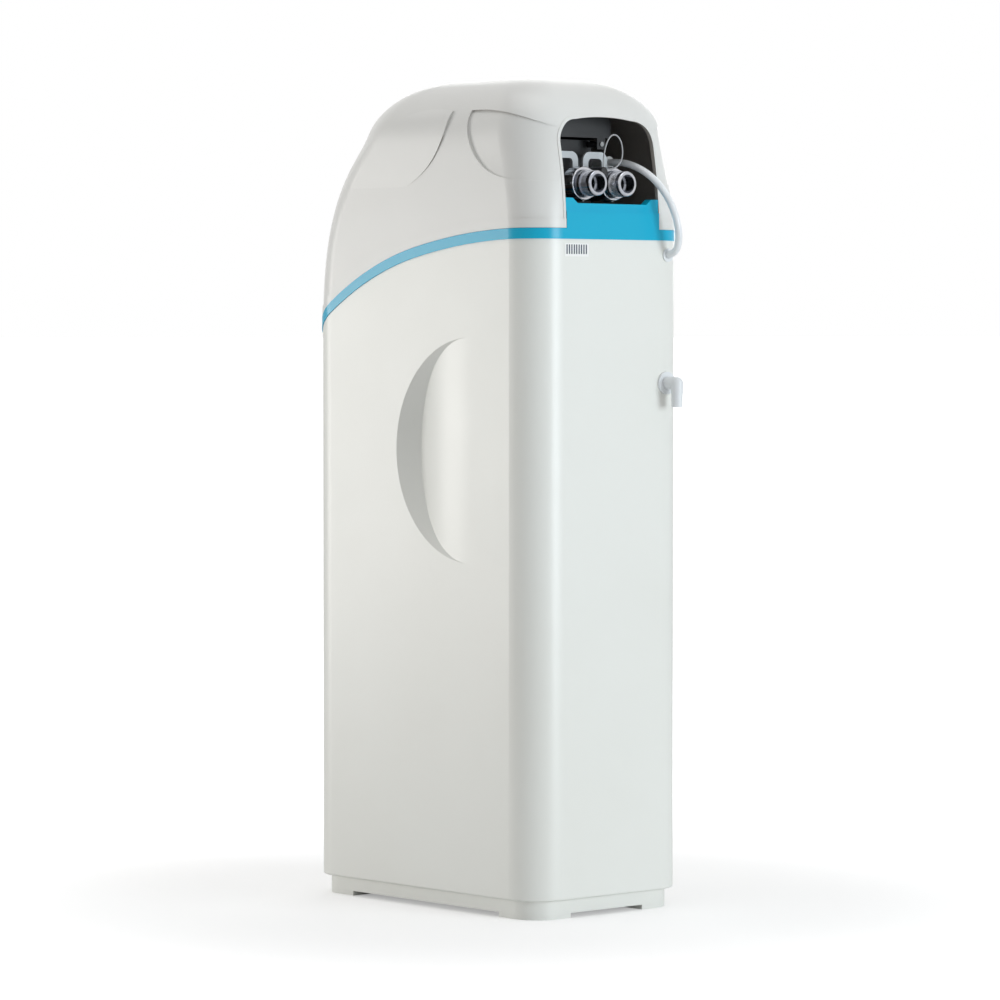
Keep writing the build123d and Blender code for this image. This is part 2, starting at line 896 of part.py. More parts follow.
hose_radius = hose_diameter / 2
with BuildPart() as hose_grommet:
    rod_y(grommet_x, rear_y, rear_y + grommet_flange, grommet_z, grommet_radius)
    rod_y(grommet_x, grommet_seat, rear_y, grommet_z, grommet_hole - grommet_gap)
    grommet_span = (grommet_seat - grommet_flange, rear_y + grommet_flange)
    rod_y(grommet_x, grommet_span[0], grommet_seat, grommet_z, grommet_radius)
    rod_y(grommet_x, *grommet_span, grommet_z, hose_radius + grommet_gap, Mode.SUBTRACT)
export(hose_grommet.part, "hose_grommet")

# Pressure vessel on its boot, with the riser, two baskets and the resin inside
vessel_foot = floor_z + boot_wall
shoulder_z = vessel_top - vessel_neck_height

with BuildPart() as boot_hollow:
    rod_z(0, vessel_y, vessel_foot, vessel_foot + vessel_height, vessel_radius + boot_gap)
    fillet(boot_hollow.edges().group_by(Axis.Z)[0], vessel_dome)

with BuildPart() as vessel_boot:
    rod_z(0, vessel_y, floor_z, floor_z + boot_height, boot_radius)
    fillet(vessel_boot.edges().group_by(Axis.Z)[0], boot_wall)
    add(boot_hollow.part, mode=Mode.SUBTRACT)
export(vessel_boot.part, "vessel_boot")


def vessel_form(skin):
    with BuildPart() as form:
        rod_z(0, vessel_y, vessel_foot + skin, shoulder_z - skin, vessel_radius - skin)
        fillet(form.edges().filter_by(GeomType.CIRCLE), vessel_dome - skin)
    return form.part


with BuildPart() as pressure_vessel:
    add(vessel_form(0))
    rod_z(0, vessel_y, shoulder_z - vessel_wall, vessel_top, vessel_neck_radius)
    add(vessel_form(vessel_wall), mode=Mode.SUBTRACT)
    rod_z(0, vessel_y, shoulder_z - 2 * vessel_wall, vessel_top, vessel_thread_radius, Mode.SUBTRACT)
export(pressure_vessel.part, "pressure_vessel")

riser_foot = vessel_foot + vessel_wall + basket_clearance
riser_top = valve_bottom + riser_insert
with BuildPart() as riser_tube:
    rod_z(0, vessel_y, riser_foot + basket_floor, riser_top, riser_radius)
    rod_z(0, vessel_y, riser_foot + basket_floor, riser_top, riser_radius - riser_wall, Mode.SUBTRACT)
export(riser_tube.part, "riser_tube")

with BuildPart() as lower_basket:
    rod_z(0, vessel_y, riser_foot, riser_foot + basket_height, basket_radius)
    basket_mouth = (riser_foot + basket_floor, riser_foot + basket_height)
    rod_z(0, vessel_y, *basket_mouth, riser_radius, Mode.SUBTRACT)
    for i in range(basket_slots):
        slot_pitch = (basket_height - 2 * basket_floor) / (basket_slots + 1)
        slot_z = riser_foot + basket_floor + (i + 1) * slot_pitch
        rod_z(0, vessel_y, slot_z, slot_z + slot_width, basket_radius + 1, Mode.SUBTRACT)
        rod_z(0, vessel_y, slot_z, slot_z + slot_width, basket_radius - slot_depth)
        rod_z(0, vessel_y, slot_z, slot_z + slot_width, riser_radius, Mode.SUBTRACT)
export(lower_basket.part, "lower_basket")

upper_basket_top = valve_bottom
with BuildPart() as upper_basket:
    upper_basket_foot = upper_basket_top - upper_basket_height
    rod_z(0, vessel_y, upper_basket_foot, upper_basket_top, upper_basket_radius)
    rod_z(0, vessel_y, upper_basket_foot, upper_basket_top, riser_radius + basket_ring_gap, Mode.SUBTRACT)
    for i in range(basket_slots):
        slot_z = upper_basket_foot + (i + 1) * slot_band / (basket_slots + 1)
        rod_z(0, vessel_y, slot_z, slot_z + slot_width, upper_basket_radius + 1, Mode.SUBTRACT)
        rod_z(0, vessel_y, slot_z, slot_z + slot_width, upper_basket_radius - slot_depth)
        rod_z(0, vessel_y, slot_z, slot_z + slot_width, riser_radius + basket_ring_gap, Mode.SUBTRACT)
export(upper_basket.part, "upper_basket")

with BuildPart() as resin_bed:
    add(vessel_form(vessel_wall + resin_gap))
    slice_top = vessel_foot + resin_level
    rod_z(0, vessel_y, slice_top, vessel_top, vessel_radius, Mode.SUBTRACT)
    basket_pocket = basket_radius + resin_gap
    rod_z(0, vessel_y, floor_z, riser_foot + basket_height + resin_gap, basket_pocket, Mode.SUBTRACT)
    rod_z(0, vessel_y, floor_z, vessel_top, riser_radius + resin_gap, Mode.SUBTRACT)
export(resin_bed.part, "resin_bed")

# Salt grid with its legs, and the brine well standing through it
with BuildPart() as salt_grid:
    grid_half = side_x - shell_wall - grid_side_gap
    grid_front = front_y + shell_wall + grid_front_gap
    grid_rear = mid_y + grid_rear_offset
    with BuildSketch(Plane.XY.offset(grid_height)) as plate:
        with Locations((0, (grid_front + grid_rear) / 2)):
            RectangleRounded(2 * grid_half, grid_rear - grid_front, grid_corner)
            with GridLocations(grid_pitch, grid_pitch, grid_columns, grid_rows):
                Circle(grid_hole, mode=Mode.SUBTRACT)
        with Locations((well_x, well_y)):
            Circle(well_radius + 2 * grid_hole)
            Circle(well_radius + well_gap, mode=Mode.SUBTRACT)
    extrude(plate.sketch, amount=grid_thickness)
    grid_mid = (grid_front + grid_rear) / 2
    with Locations(Plane.XY.offset(floor_z)):
        for x, y in grid_legs:
            rod_z(x, grid_mid + y, 0, grid_height - floor_z, grid_leg_radius)
export(salt_grid.part, "salt_grid")

with BuildPart() as brine_well:
    well_top = floor_z + well_height
    rod_z(well_x, well_y, floor_z, well_top, well_radius)
    rod_z(well_x, well_y, floor_z, well_top, well_radius - well_wall, Mode.SUBTRACT)
    across = (well_y - well_radius, well_y + well_radius)
    for level in (well_slot_height, 2 * well_slot_height):
        rod_y(well_x, *across, floor_z + level, well_slot_radius, Mode.SUBTRACT)
export(brine_well.part, "brine_well")

pickup_x = well_x
pickup_y = well_y + pickup_offset
cap_top = well_top + well_cap_thickness
rod_bore = float_rod_radius + swivel_fit
with BuildPart() as brine_well_cap:
    rod_z(well_x, well_y, well_top - well_cap_skirt, cap_top, well_cap_radius)
    rod_z(well_x, well_y, well_top - well_cap_skirt, well_top, well_radius + well_gap, Mode.SUBTRACT)
    rod_z(pickup_x, pickup_y, well_top, cap_top, brine_line_radius + well_gap, Mode.SUBTRACT)
    rod_z(well_x, well_y, well_top, cap_top, rod_bore, Mode.SUBTRACT)
export(brine_well_cap.part, "brine_well_cap")

# Safety float: the valve at the foot of the well, its pickup tube, and the float on its rod
with BuildPart() as float_valve:
    valve_foot_top = floor_z + float_valve_height
    rod_z(well_x, well_y, floor_z, valve_foot_top, float_valve_radius)
    rod_z(well_x, well_y, valve_foot_top - rod_socket, valve_foot_top, rod_bore, Mode.SUBTRACT)
    arm = (floor_z + arm_height, floor_z + arm_height + arm_thickness)
    block((well_x - arm_half_width, well_x + arm_half_width), (well_y, pickup_y), arm)
    rod_z(pickup_x, pickup_y, floor_z, arm[1], arm_half_width)
    rod_z(pickup_x, pickup_y, floor_z + arm_height / 2, arm[1], brine_line_bore, Mode.SUBTRACT)
export(float_valve.part, "float_valve")

with BuildPart() as pickup_tube:
    rod_z(pickup_x, pickup_y, arm[1], cap_top, brine_line_radius)
    rod_z(pickup_x, pickup_y, arm[1], cap_top, brine_line_bore, Mode.SUBTRACT)
export(pickup_tube.part, "pickup_tube")

with BuildPart() as float_rod:
    rod_foot = valve_foot_top - rod_socket + float_valve_seat
    rod_z(well_x, well_y, rod_foot, cap_top + float_rod_end, float_rod_radius)
export(float_rod.part, "float_rod")

with BuildPart() as brine_float:
    float_foot = floor_z + float_rest
    rod_z(well_x, well_y, float_foot, float_foot + float_height, float_radius)
    fillet(brine_float.edges().filter_by(GeomType.CIRCLE), float_round)
    rod_z(well_x, well_y, float_foot, float_foot + float_height, float_rod_radius, Mode.SUBTRACT)
export(brine_float.part, "brine_float")


def bend_radii(points):
    """One bend radius for each inner point of a tube's route, as large as its runs allow."""
    radii = []
    for before, here, after in zip(points, points[1:], points[2:]):
        arrive = Vector(here) - Vector(before)
        leave = Vector(after) - Vector(here)
        half_turn = radians(arrive.get_angle(leave)) / 2
        radii.append(bend_share * min(arrive.length, leave.length) / tan(half_turn))
    return radii


def tube(points, radius, bore=0):
    radii = bend_radii(points)
    with BuildPart() as pipe:
        with BuildLine() as route:
            FilletPolyline(*points, radius=radii)
        with BuildSketch(Plane(origin=points[0], z_dir=Vector(points[1]) - Vector(points[0]))):
            Circle(radius)
            if bore:
                Circle(bore, mode=Mode.SUBTRACT)
        sweep(path=route.wire())
    length = route.wire().length
    section = pi * (radius**2 - bore**2)
    print("tube", round(length, 1), "volume ratio", round(pipe.part.volume / (section * length), 4))
    print("bend radii", [round(r, 1) for r in radii])
    return pipe.part


brine_line_route = (
    (grommet_x, rear_y + grommet_flange - line_end_gap, grommet_z),
    (grommet_x, rear_y - 26, grommet_z),
    (-110, rear_y - 52, 871),
    (-117, rear_y - 92, 860),
    (-119, rear_y - 142, 846),
    (-116, rear_y - 192, 832),
    (-104, rear_y - 228, 816),
    (-84, rear_y - 246, 798),
    (-66, rear_y - 251, 776),
    (pickup_x, pickup_y, 752),
    (pickup_x, pickup_y, cap_top),
)
brine_line = tube(brine_line_route, brine_line_radius, brine_line_bore)
export(brine_line, "brine_line")

# Valve body: threaded neck, main bore, two rear ports, and the bosses that carry its neighbours
def valve_at(offset):
    return mid_y + offset


bore_front = valve_at(valve_front_offset)
bore_rear = valve_at(cage_rear_offset)
port_mouth = valve_at(port_rear_offset)
spigot_front = valve_at(spigot_front_offset)
turbine_front = valve_at(turbine_offset)
clip_y = valve_at(clip_offset)
post_face = valve_at(housing_rear_offset) - housing_wall - tab_gap
sensor_front = valve_at(sensor_front_offset)

with BuildPart() as valve_body:
    valve_span_y = (valve_at(valve_front_offset), valve_at(valve_rear_offset))
    block((-valve_half_width, valve_half_width), valve_span_y, (valve_bottom, valve_top))
    fillet(valve_body.edges().filter_by(Axis.Y), valve_round)
    rod_z(0, vessel_y, vessel_top, valve_bottom + 1, valve_flange_radius)
    rod_z(0, vessel_y, shoulder_z, vessel_top, vessel_thread_radius - neck_gap)
    rod_z(0, vessel_y, shoulder_z, valve_bottom, upper_basket_radius + neck_gap, Mode.SUBTRACT)
    rod_z(0, vessel_y, valve_bottom, riser_top, riser_radius + neck_gap, Mode.SUBTRACT)
    for x in port_xs:
        rod_y(x, valve_at(valve_rear_offset), port_mouth, port_height, port_radius)
    for x in port_xs:
        rod_y(x, spigot_front, port_mouth, port_height, port_bore, Mode.SUBTRACT)
        clip_slot_half = clip_slot / 2 - clip_fit
        clip_edge = clip_width / 2 + clip_fit
        for side in (-1, 1):
            spans = sorted((x + side * clip_slot_half, x + side * clip_edge))
            slot_y = (clip_y - clip_fit, clip_y + clip_thickness + clip_fit)
            block(spans, slot_y, (clip_bottom - clip_fit, clip_top), Mode.SUBTRACT)
    turbine_bore = turbine_radius + turbine_tip_gap
    rod_y(port_xs[0], turbine_front, spigot_front, port_height, turbine_bore, Mode.SUBTRACT)
    pin_seat = turbine_front - turbine_pin_seat
    rod_y(port_xs[0], pin_seat, turbine_front, port_height, turbine_pin_radius, Mode.SUBTRACT)
    rod_y(port_xs[1], bore_rear, spigot_front, port_height, turbine_bore, Mode.SUBTRACT)
    rod_y(0, bore_front, bore_rear, piston_height, cage_radius, Mode.SUBTRACT)
    rod_y(0, valve_at(valve_rear_offset), sensor_front, sensor_z, sensor_radius - sensor_step)
    for x in (-tab_x, tab_x):
        rod_y(x, valve_at(valve_rear_offset), post_face, tab_z, post_radius)
        rod_y(x, post_face - screw_depth, post_face, tab_z, screw_radius, Mode.SUBTRACT)
export(valve_body.part, "valve_body")

# Piston train: seal cage, end cap, piston with its screw rod
with BuildPart() as seal_cage:
    cage_outer = cage_radius - cage_fit
    rod_y(0, bore_front, bore_rear, piston_height, cage_outer)
    rod_y(0, bore_front, bore_rear, piston_height, cage_outer - cage_wall, Mode.SUBTRACT)
    for i in range(cage_windows):
        window_y = bore_front + (i + 0.5) * (bore_rear - bore_front) / cage_windows
        rod_z(0, window_y, piston_height - 2 * cage_radius, piston_height, cage_window_radius, Mode.SUBTRACT)
export(seal_cage.part, "seal_cage")

cap_front = bore_front - end_cap_thickness
rod_hole = piston_rod_radius + shaft_fit
with BuildPart() as valve_end_cap:
    rod_y(0, cap_front, bore_front, piston_height, end_cap_radius)
    rod_y(0, cap_front, bore_front, piston_height, rod_hole, Mode.SUBTRACT)
export(valve_end_cap.part, "valve_end_cap")

gear_front = valve_at(gear_offset)
piston_front = valve_at(piston_start_offset)
rod_front = valve_at(motor_offset)
with BuildPart() as piston:
    rod_y(0, piston_front, piston_front + piston_length, piston_height, piston_radius)
    for i in range(piston_grooves):
        groove_y = piston_front + (i + 1) * piston_length / (piston_grooves + 1)
        groove_span = (groove_y - groove_half, groove_y + groove_half)
        rod_y(0, *groove_span, piston_height, piston_radius + 1, Mode.SUBTRACT)
        rod_y(0, *groove_span, piston_height, piston_radius - groove_depth)
    rod_y(0, rod_front, piston_front, piston_height, piston_rod_radius)
export(piston.part, "piston")


def spur_gear(teeth, x, z, y_from, y_to, turn):
    """A spur gear with involute flanks, its first tooth at the angle turn."""
    pitch = gear_module * teeth / 2
    tip = pitch + gear_addendum * gear_module
    root = pitch - gear_dedendum * gear_module
    base = pitch * cos(radians(pressure_angle))
    start = max(base, root)
    flat = tan(radians(pressure_angle)) - radians(pressure_angle)
    half_tooth = pi / teeth / 2 - gear_backlash / 2 / pitch + flat
    flank = []
    for i in range(flank_points):
        radius = start + (tip - start) * i / (flank_points - 1)
        roll = sqrt(max(0, (radius / base) ** 2 - 1))
        flank.append((radius, half_tooth - (roll - atan(roll))))
    if start > root:
        flank.insert(0, (root, flank[0][1]))
    tooth = [(r, -a) for r, a in flank] + [(r, a) for r, a in reversed(flank)]
    outline = []
    for i in range(teeth):
        centre = radians(turn) + 2 * pi * i / teeth
        outline += [(x + r * cos(centre + a), z + r * sin(centre + a)) for r, a in tooth]
    with BuildPart() as gear:
        with BuildSketch(Plane.XZ.offset(-y_to)):
            with BuildLine():
                Polyline(*outline, close=True)
            make_face()
        extrude(amount=y_to - y_from)
    return gear.part


gear_pitch = gear_module * gear_teeth / 2
pinion_pitch = gear_module * pinion_teeth / 2
pinion_z = piston_height + gear_pitch + pinion_pitch + gear_centre_gap
gear_rear = gear_front + gear_width
with BuildPart() as drive_gear:
    add(spur_gear(gear_teeth, 0, piston_height, gear_front, gear_rear, 90))
    rod_y(0, gear_front - hub_length, gear_rear + hub_length / 2, piston_height, hub_radius)
    rod_y(0, gear_front - hub_length, gear_rear + hub_length / 2, piston_height, rod_hole, Mode.SUBTRACT)
    for i in range(gear_holes):
        turn = 2 * pi * i / gear_holes
        x = gear_hole_circle * cos(turn)
        z = piston_height + gear_hole_circle * sin(turn)
        rod_y(x, gear_front, gear_rear, z, gear_hole_radius, Mode.SUBTRACT)
export(drive_gear.part, "drive_gear")

bracket_front = valve_at(bracket_offset)
bracket_rear = bracket_front + bracket_thickness
with BuildPart() as motor_pinion:
    add(spur_gear(pinion_teeth, 0, pinion_z, gear_front - 1, gear_rear + 1, 90 + 180 / pinion_teeth))
    rod_y(0, gear_front - 1, gear_rear + 1, pinion_z, motor_shaft_radius)
    rod_y(0, bracket_front - shaft_reach, gear_front, pinion_z, motor_shaft_radius)
export(motor_pinion.part, "motor_pinion")

with BuildPart() as drive_motor:
    motor_front = bracket_front - motor_length
    rod_y(0, motor_front, bracket_front, pinion_z, motor_radius)
    fillet(drive_motor.edges().filter_by(GeomType.CIRCLE).sort_by(Axis.Y)[0], motor_round)
    shaft_hole = motor_shaft_radius + shaft_fit
    rod_y(0, bracket_front - shaft_reach - shaft_end_gap, bracket_front, pinion_z, shaft_hole, Mode.SUBTRACT)
export(drive_motor.part, "drive_motor")

with BuildPart() as drive_bracket:
    bracket_left = housing_left + housing_wall + bracket_side_gap
    bracket_right = housing_right - housing_wall - bracket_side_gap
    block((bracket_left, bracket_right), (bracket_front, bracket_rear), (bracket_bottom, bracket_top))
    for x in (-bracket_post_x, bracket_post_x):
        rod_y(x, bracket_rear, bore_front, bracket_post_z, post_radius)
        rod_y(x, bracket_rear, bore_front, bracket_low_post_z, post_radius)
    rod_y(0, bracket_front, bracket_rear, pinion_z, motor_shaft_radius + bracket_hole_gap, Mode.SUBTRACT)
    rod_y(0, bracket_front, bracket_rear, piston_height, piston_rod_radius + bracket_hole_gap, Mode.SUBTRACT)
export(drive_bracket.part, "drive_bracket")

# Meter: turbine wheel on its pin inside the left port, and the sensor between the ports
with BuildPart() as meter_turbine:
    turbine_rear = turbine_front + turbine_end_gap + turbine_length
    turbine_span = (turbine_front + turbine_end_gap, turbine_rear)
    rod_y(port_xs[0], *turbine_span, port_height, turbine_hub)
    for i in range(turbine_blades):
        blade_turn = Location((port_xs[0], port_height), 360 * i / turbine_blades)
        with BuildSketch(Plane.XZ.offset(-turbine_rear)):
            with Locations(blade_turn):
                with Locations((turbine_radius / 2, 0)):
                    Rectangle(turbine_radius - blade_tip, blade_thickness)
        extrude(amount=turbine_length)
    pin_hole = turbine_pin_radius + turbine_fit
    rod_y(port_xs[0], *turbine_span, port_height, pin_hole, Mode.SUBTRACT)
export(meter_turbine.part, "meter_turbine")

with BuildPart() as turbine_pin:
    rod_y(port_xs[0], pin_seat, turbine_rear + turbine_end_gap, port_height, turbine_pin_radius)
    rod_y(port_xs[0], turbine_rear + turbine_end_gap, turbine_rear + 2, port_height, turbine_hub)
export(turbine_pin.part, "turbine_pin")

with BuildPart() as flow_sensor:
    rod_y(sensor_x, sensor_front, valve_at(sensor_rear_offset), sensor_z, sensor_radius)
    fillet(flow_sensor.edges().filter_by(GeomType.CIRCLE).sort_by(Axis.Y)[-1], sensor_round)
export(flow_sensor.part, "flow_sensor")

# Stub connectors with their seals, union nuts and retaining clips, one set for each port
stub_names = ("left", "right")
stub_end = valve_at(stub_end_offset)
for name, x in zip(stub_names, port_xs):
    with BuildPart() as stub:
        flange_front = port_mouth
        flange_end = flange_front + flange_thickness
        rod_y(x, spigot_front + spigot_gap, flange_front, port_height, spigot_radius)
        rod_y(x, flange_front, flange_end, port_height, flange_radius)
        rod_y(x, flange_end, stub_end, port_height, stub_radius)
        stub_face = stub.edges().filter_by(GeomType.CIRCLE).sort_by(Axis.Y)[-1]
        chamfer(stub_face, stub_chamfer)
        collar_front = valve_at(collar_offset)
        rod_y(x, collar_front, collar_front + collar_length, port_height, collar_radius)
        rod_y(x, spigot_front, stub_end, port_height, stub_bore, Mode.SUBTRACT)
        rod_y(x, stub_end - stub_mouth_depth, stub_end, port_height, stub_mouth_bore, Mode.SUBTRACT)
        grooves = [(spigot_front + offset, seal_width + 2 * seal_gap) for offset in seal_offsets]
        grooves.append((clip_y - clip_fit, clip_thickness + 2 * clip_fit))
        for groove_start, groove_width in grooves:
            span = (groove_start, groove_start + groove_width)
            rod_y(x, *span, port_height, spigot_radius + 1, Mode.SUBTRACT)
            rod_y(x, *span, port_height, seal_groove_radius)
            rod_y(x, *span, port_height, stub_bore, Mode.SUBTRACT)
    export(stub.part, "stub_connector_" + name)

    with BuildPart() as seals:
        for offset in seal_offsets:
            start = spigot_front + offset + seal_gap
            rod_y(x, start, start + seal_width, port_height, port_bore - seal_gap / 2)
        seal_bore = seal_groove_radius + seal_gap / 2
        for offset in seal_offsets:
            start = spigot_front + offset + seal_gap
            rod_y(x, start, start + seal_width, port_height, seal_bore, Mode.SUBTRACT)
    export(seals.part, "stub_seals_" + name)

    with BuildPart() as union_nut:
        nut_front = valve_at(nut_offset)
        nut_rear = nut_front + nut_length
        rod_y(x, nut_front, nut_rear, port_height, nut_radius)
        nut_edges = union_nut.edges().filter_by(GeomType.CIRCLE)
        fillet(nut_edges, nut_round)
        with BuildSketch(Plane.XZ.offset(-(nut_rear - nut_rib_end))):
            with Locations((x, port_height)):
                with PolarLocations(nut_radius - nut_rib_radius + nut_rib_height, nut_ribs):
                    Circle(nut_rib_radius)
        extrude(amount=nut_length - 2 * nut_rib_end)
        rod_y(x, nut_front, nut_rear, port_height, stub_radius + nut_gap, Mode.SUBTRACT)
    export(union_nut.part, "union_nut_" + name)

    with BuildPart() as clip:
        with BuildSketch(Plane.XZ.offset(-(clip_y + clip_thickness))):
            clip_height = clip_top - clip_bottom
            with Locations((x, clip_bottom + clip_height / 2)):
                Rectangle(clip_width, clip_height)
        extrude(amount=clip_thickness)
        fillet(clip.edges().filter_by(Axis.Y).group_by(Axis.Z)[-1], clip_round)
        with BuildSketch(Plane.XZ.offset(-(clip_y + clip_thickness))):
            with Locations((x, clip_bottom + (clip_height - clip_bar) / 2)):
                Rectangle(clip_slot, clip_height - clip_bar)
        extrude(amount=clip_thickness, mode=Mode.SUBTRACT)
        clip_inner = clip.edges().filter_by(Axis.Y).filter_by(
            lambda e: abs(e.center().Z - (clip_top - clip_bar)) < 0.1
        )
        fillet(clip_inner, clip_inner_round)
    export(clip.part, "retaining_clip_" + name)

# Control head: dark housing over the drive, with its leaning front face
face_low = (valve_at(housing_front_offset), housing_drop)
face_high = (valve_at(housing_top_front_offset), housing_top)
face_lean = atan2(face_high[1] - face_low[1], face_high[0] - face_low[0])
housing_mid_x = (housing_left + housing_right) / 2
panel_rise = panel_centre_z - housing_drop
panel_plane = Plane(
    origin=(housing_mid_x, face_low[0] + panel_rise / tan(face_lean), panel_centre_z),
    x_dir=(1, 0, 0),
    z_dir=(0, -sin(face_lean), cos(face_lean)),
)
housing_rear = valve_at(housing_rear_offset)
drop_rear = valve_at(housing_drop_offset)


def housing_slab(skin, low_drop, low_rear):
    """The housing's side view drawn skin thick inside its outer face, open toward the bottom."""
    front_shift = skin / sin(face_lean)
    ceiling = housing_top - skin
    run = (ceiling - low_drop) / tan(face_lean)
    start = face_low[0] + front_shift - (housing_drop - low_drop) / tan(face_lean)
    with BuildPart() as slab:
        with BuildSketch(Plane.YZ.offset(housing_left + skin)):
            with BuildLine():
                Polyline(
                    (start, low_drop),
                    (start + run, ceiling),
                    (housing_rear - skin, ceiling),
                    (housing_rear - skin, low_rear),
                    (drop_rear, low_rear),
                    (drop_rear, low_drop),
                    close=True,
                )
            make_face()
        extrude(amount=housing_right - housing_left - 2 * skin)
    return slab.part


with BuildPart() as control_housing:
    add(housing_slab(0, housing_drop, housing_bottom))
    top_edges = control_housing.edges().group_by(Axis.Z)[-1]
    upright_edges = control_housing.edges().filter_by(Axis.Z).group_by(Axis.Y)[-1]
    fillet(top_edges + upright_edges, housing_round)
    hollow = housing_slab(housing_wall, housing_drop - housing_wall, housing_bottom - housing_wall)
    add(hollow, mode=Mode.SUBTRACT)
    inside_x = (housing_left + housing_wall, housing_right - housing_wall)
    drop_z = (housing_drop - housing_wall, housing_bottom)
    block(inside_x, (drop_rear - housing_wall, drop_rear), drop_z, Mode.SUBTRACT)
    with BuildSketch(panel_plane):
        RectangleRounded(panel_width - 2 * panel_seat, panel_height - 2 * panel_seat, panel_corner)
    extrude(amount=-2 * housing_wall, mode=Mode.SUBTRACT)
    for x in (-tab_x, tab_x):
        tab_span = (tab_z - tab_half, housing_bottom + housing_wall)
        block((x - tab_half, x + tab_half), (housing_rear - housing_wall, housing_rear), tab_span)
    for x in (-tab_x, tab_x):
        rod_y(x, housing_rear - housing_wall, housing_rear, tab_z, screw_radius + screw_gap, Mode.SUBTRACT)
    rod_y(inlet_x, housing_rear - housing_wall, housing_rear, inlet_z, inlet_radius, Mode.SUBTRACT)
export(control_housing.part, "control_housing")

with BuildPart() as housing_screws:
    for x in (-tab_x, tab_x):
        rod_y(x, housing_rear, housing_rear + screw_head_height, tab_z, screw_head_radius)
        rod_y(x, post_face - screw_depth + tab_gap, housing_rear, tab_z, screw_radius)
export(housing_screws.part, "housing_screws")

with BuildPart() as power_inlet:
    inlet_front = housing_rear - housing_wall - inlet_length
    rod_y(inlet_x, inlet_front, housing_rear - housing_wall, inlet_z, inlet_radius + inlet_step)
    rod_y(inlet_x, housing_rear - housing_wall, housing_rear + 1, inlet_z, inlet_radius - inlet_gap)
    rod_y(inlet_x, inlet_front + inlet_step, housing_rear + 1, inlet_z, inlet_bore, Mode.SUBTRACT)
    rod_y(inlet_x, inlet_front, housing_rear - inlet_step, inlet_z, inlet_pin_radius)
export(power_inlet.part, "power_inlet")

button_xs = [button_pitch * (i - (button_count - 1) / 2) for i in range(button_count)]
with BuildPart() as control_panel:
    with BuildSketch(panel_plane):
        RectangleRounded(panel_width, panel_height, panel_corner)
        with Locations(*[(x, button_drop) for x in button_xs]):
            Circle(button_radius + button_gap, mode=Mode.SUBTRACT)
    extrude(amount=panel_thickness)
    with BuildSketch(panel_plane.offset(panel_thickness)):
        with Locations((0, display_lift)):
            RectangleRounded(display_width, display_height, display_corner)
    extrude(amount=-display_thickness, mode=Mode.SUBTRACT)
    with BuildSketch(panel_plane):
        with GridLocations(panel_width - 2 * board_inset, panel_height - 2 * board_inset, 2, 2):
            Circle(board_post_radius)
    extrude(amount=-board_gap)
export(control_panel.part, "control_panel")

with BuildPart() as display_window:
    with BuildSketch(panel_plane.offset(panel_thickness - display_thickness)):
        with Locations((0, display_lift)):
            RectangleRounded(display_width, display_height, display_corner)
    extrude(amount=display_thickness)
export(display_window.part, "display_window")

with BuildPart() as circuit_board:
    with BuildSketch(panel_plane.offset(-board_gap - board_thickness)):
        board_edge = 2 * (board_inset - board_post_radius)
        Rectangle(panel_width - board_edge, panel_height - board_edge)
    extrude(amount=board_thickness)
export(circuit_board.part, "circuit_board")

for i, x in enumerate(button_xs):
    with BuildPart() as button:
        button_top = panel_thickness + button_proud
        with BuildSketch(panel_plane.offset(button_top - button_height)):
            with Locations((x, button_drop)):
                Circle(button_radius)
        extrude(amount=button_height)
        fillet(button.edges().filter_by(GeomType.CIRCLE).sort_by(Axis.Y)[0], button_round)
        with BuildSketch(panel_plane.offset(-button_gap - button_flange_thickness)):
            with Locations((x, button_drop)):
                Circle(button_flange)
        extrude(amount=button_flange_thickness)
    export(button.part, "button_" + str(i + 1))

# Push-fit elbow on the valve's side that the hose comes out of
fitting_y = valve_at(hose_fitting_offset)
hose_mouth = valve_at(hose_start_offset)
with BuildPart() as hose_fitting:
    rod_x(hose_start_x, -valve_half_width, fitting_y, hose_start_z, hose_fitting_radius)
    rod_y(hose_start_x, fitting_y, hose_mouth, hose_start_z, hose_fitting_radius)
    with Locations((hose_start_x, fitting_y, hose_start_z)):
        Sphere(hose_fitting_radius)
    collet_start = hose_mouth - collet_length
    rod_y(hose_start_x, collet_start, hose_mouth, hose_start_z, collet_radius)
    fitting_bore = hose_radius - fitting_step
    rod_y(hose_start_x, fitting_y, hose_mouth, hose_start_z, fitting_bore, Mode.SUBTRACT)
    rod_x(hose_start_x, -valve_half_width, fitting_y, hose_start_z, fitting_bore, Mode.SUBTRACT)
export(hose_fitting.part, "hose_fitting")

# White hose: out through the rear window, round the hood's leg and into the cabinet wall
hose_route = (
    (hose_start_x, hose_mouth, hose_start_z),
    (-61, valve_at(180), hose_start_z),
    (-61.2, valve_at(198), 997),
    (-63.5, valve_at(217), 990.5),
    (-68.5, valve_at(234), 979.5),
    (-75, valve_at(247), 964.5),
    (-82, valve_at(256), 946),
    (-88, valve_at(261), 925.5),
    (-93, valve_at(261.5), 905),
    (-96.8, valve_at(256), 888.5),
    (-99.2, valve_at(246.5), 878.2),
    (grommet_x, rear_y + grommet_flange, grommet_z),
)
drain_hose = tube(hose_route, hose_radius)
export(drain_hose, "brine_hose")

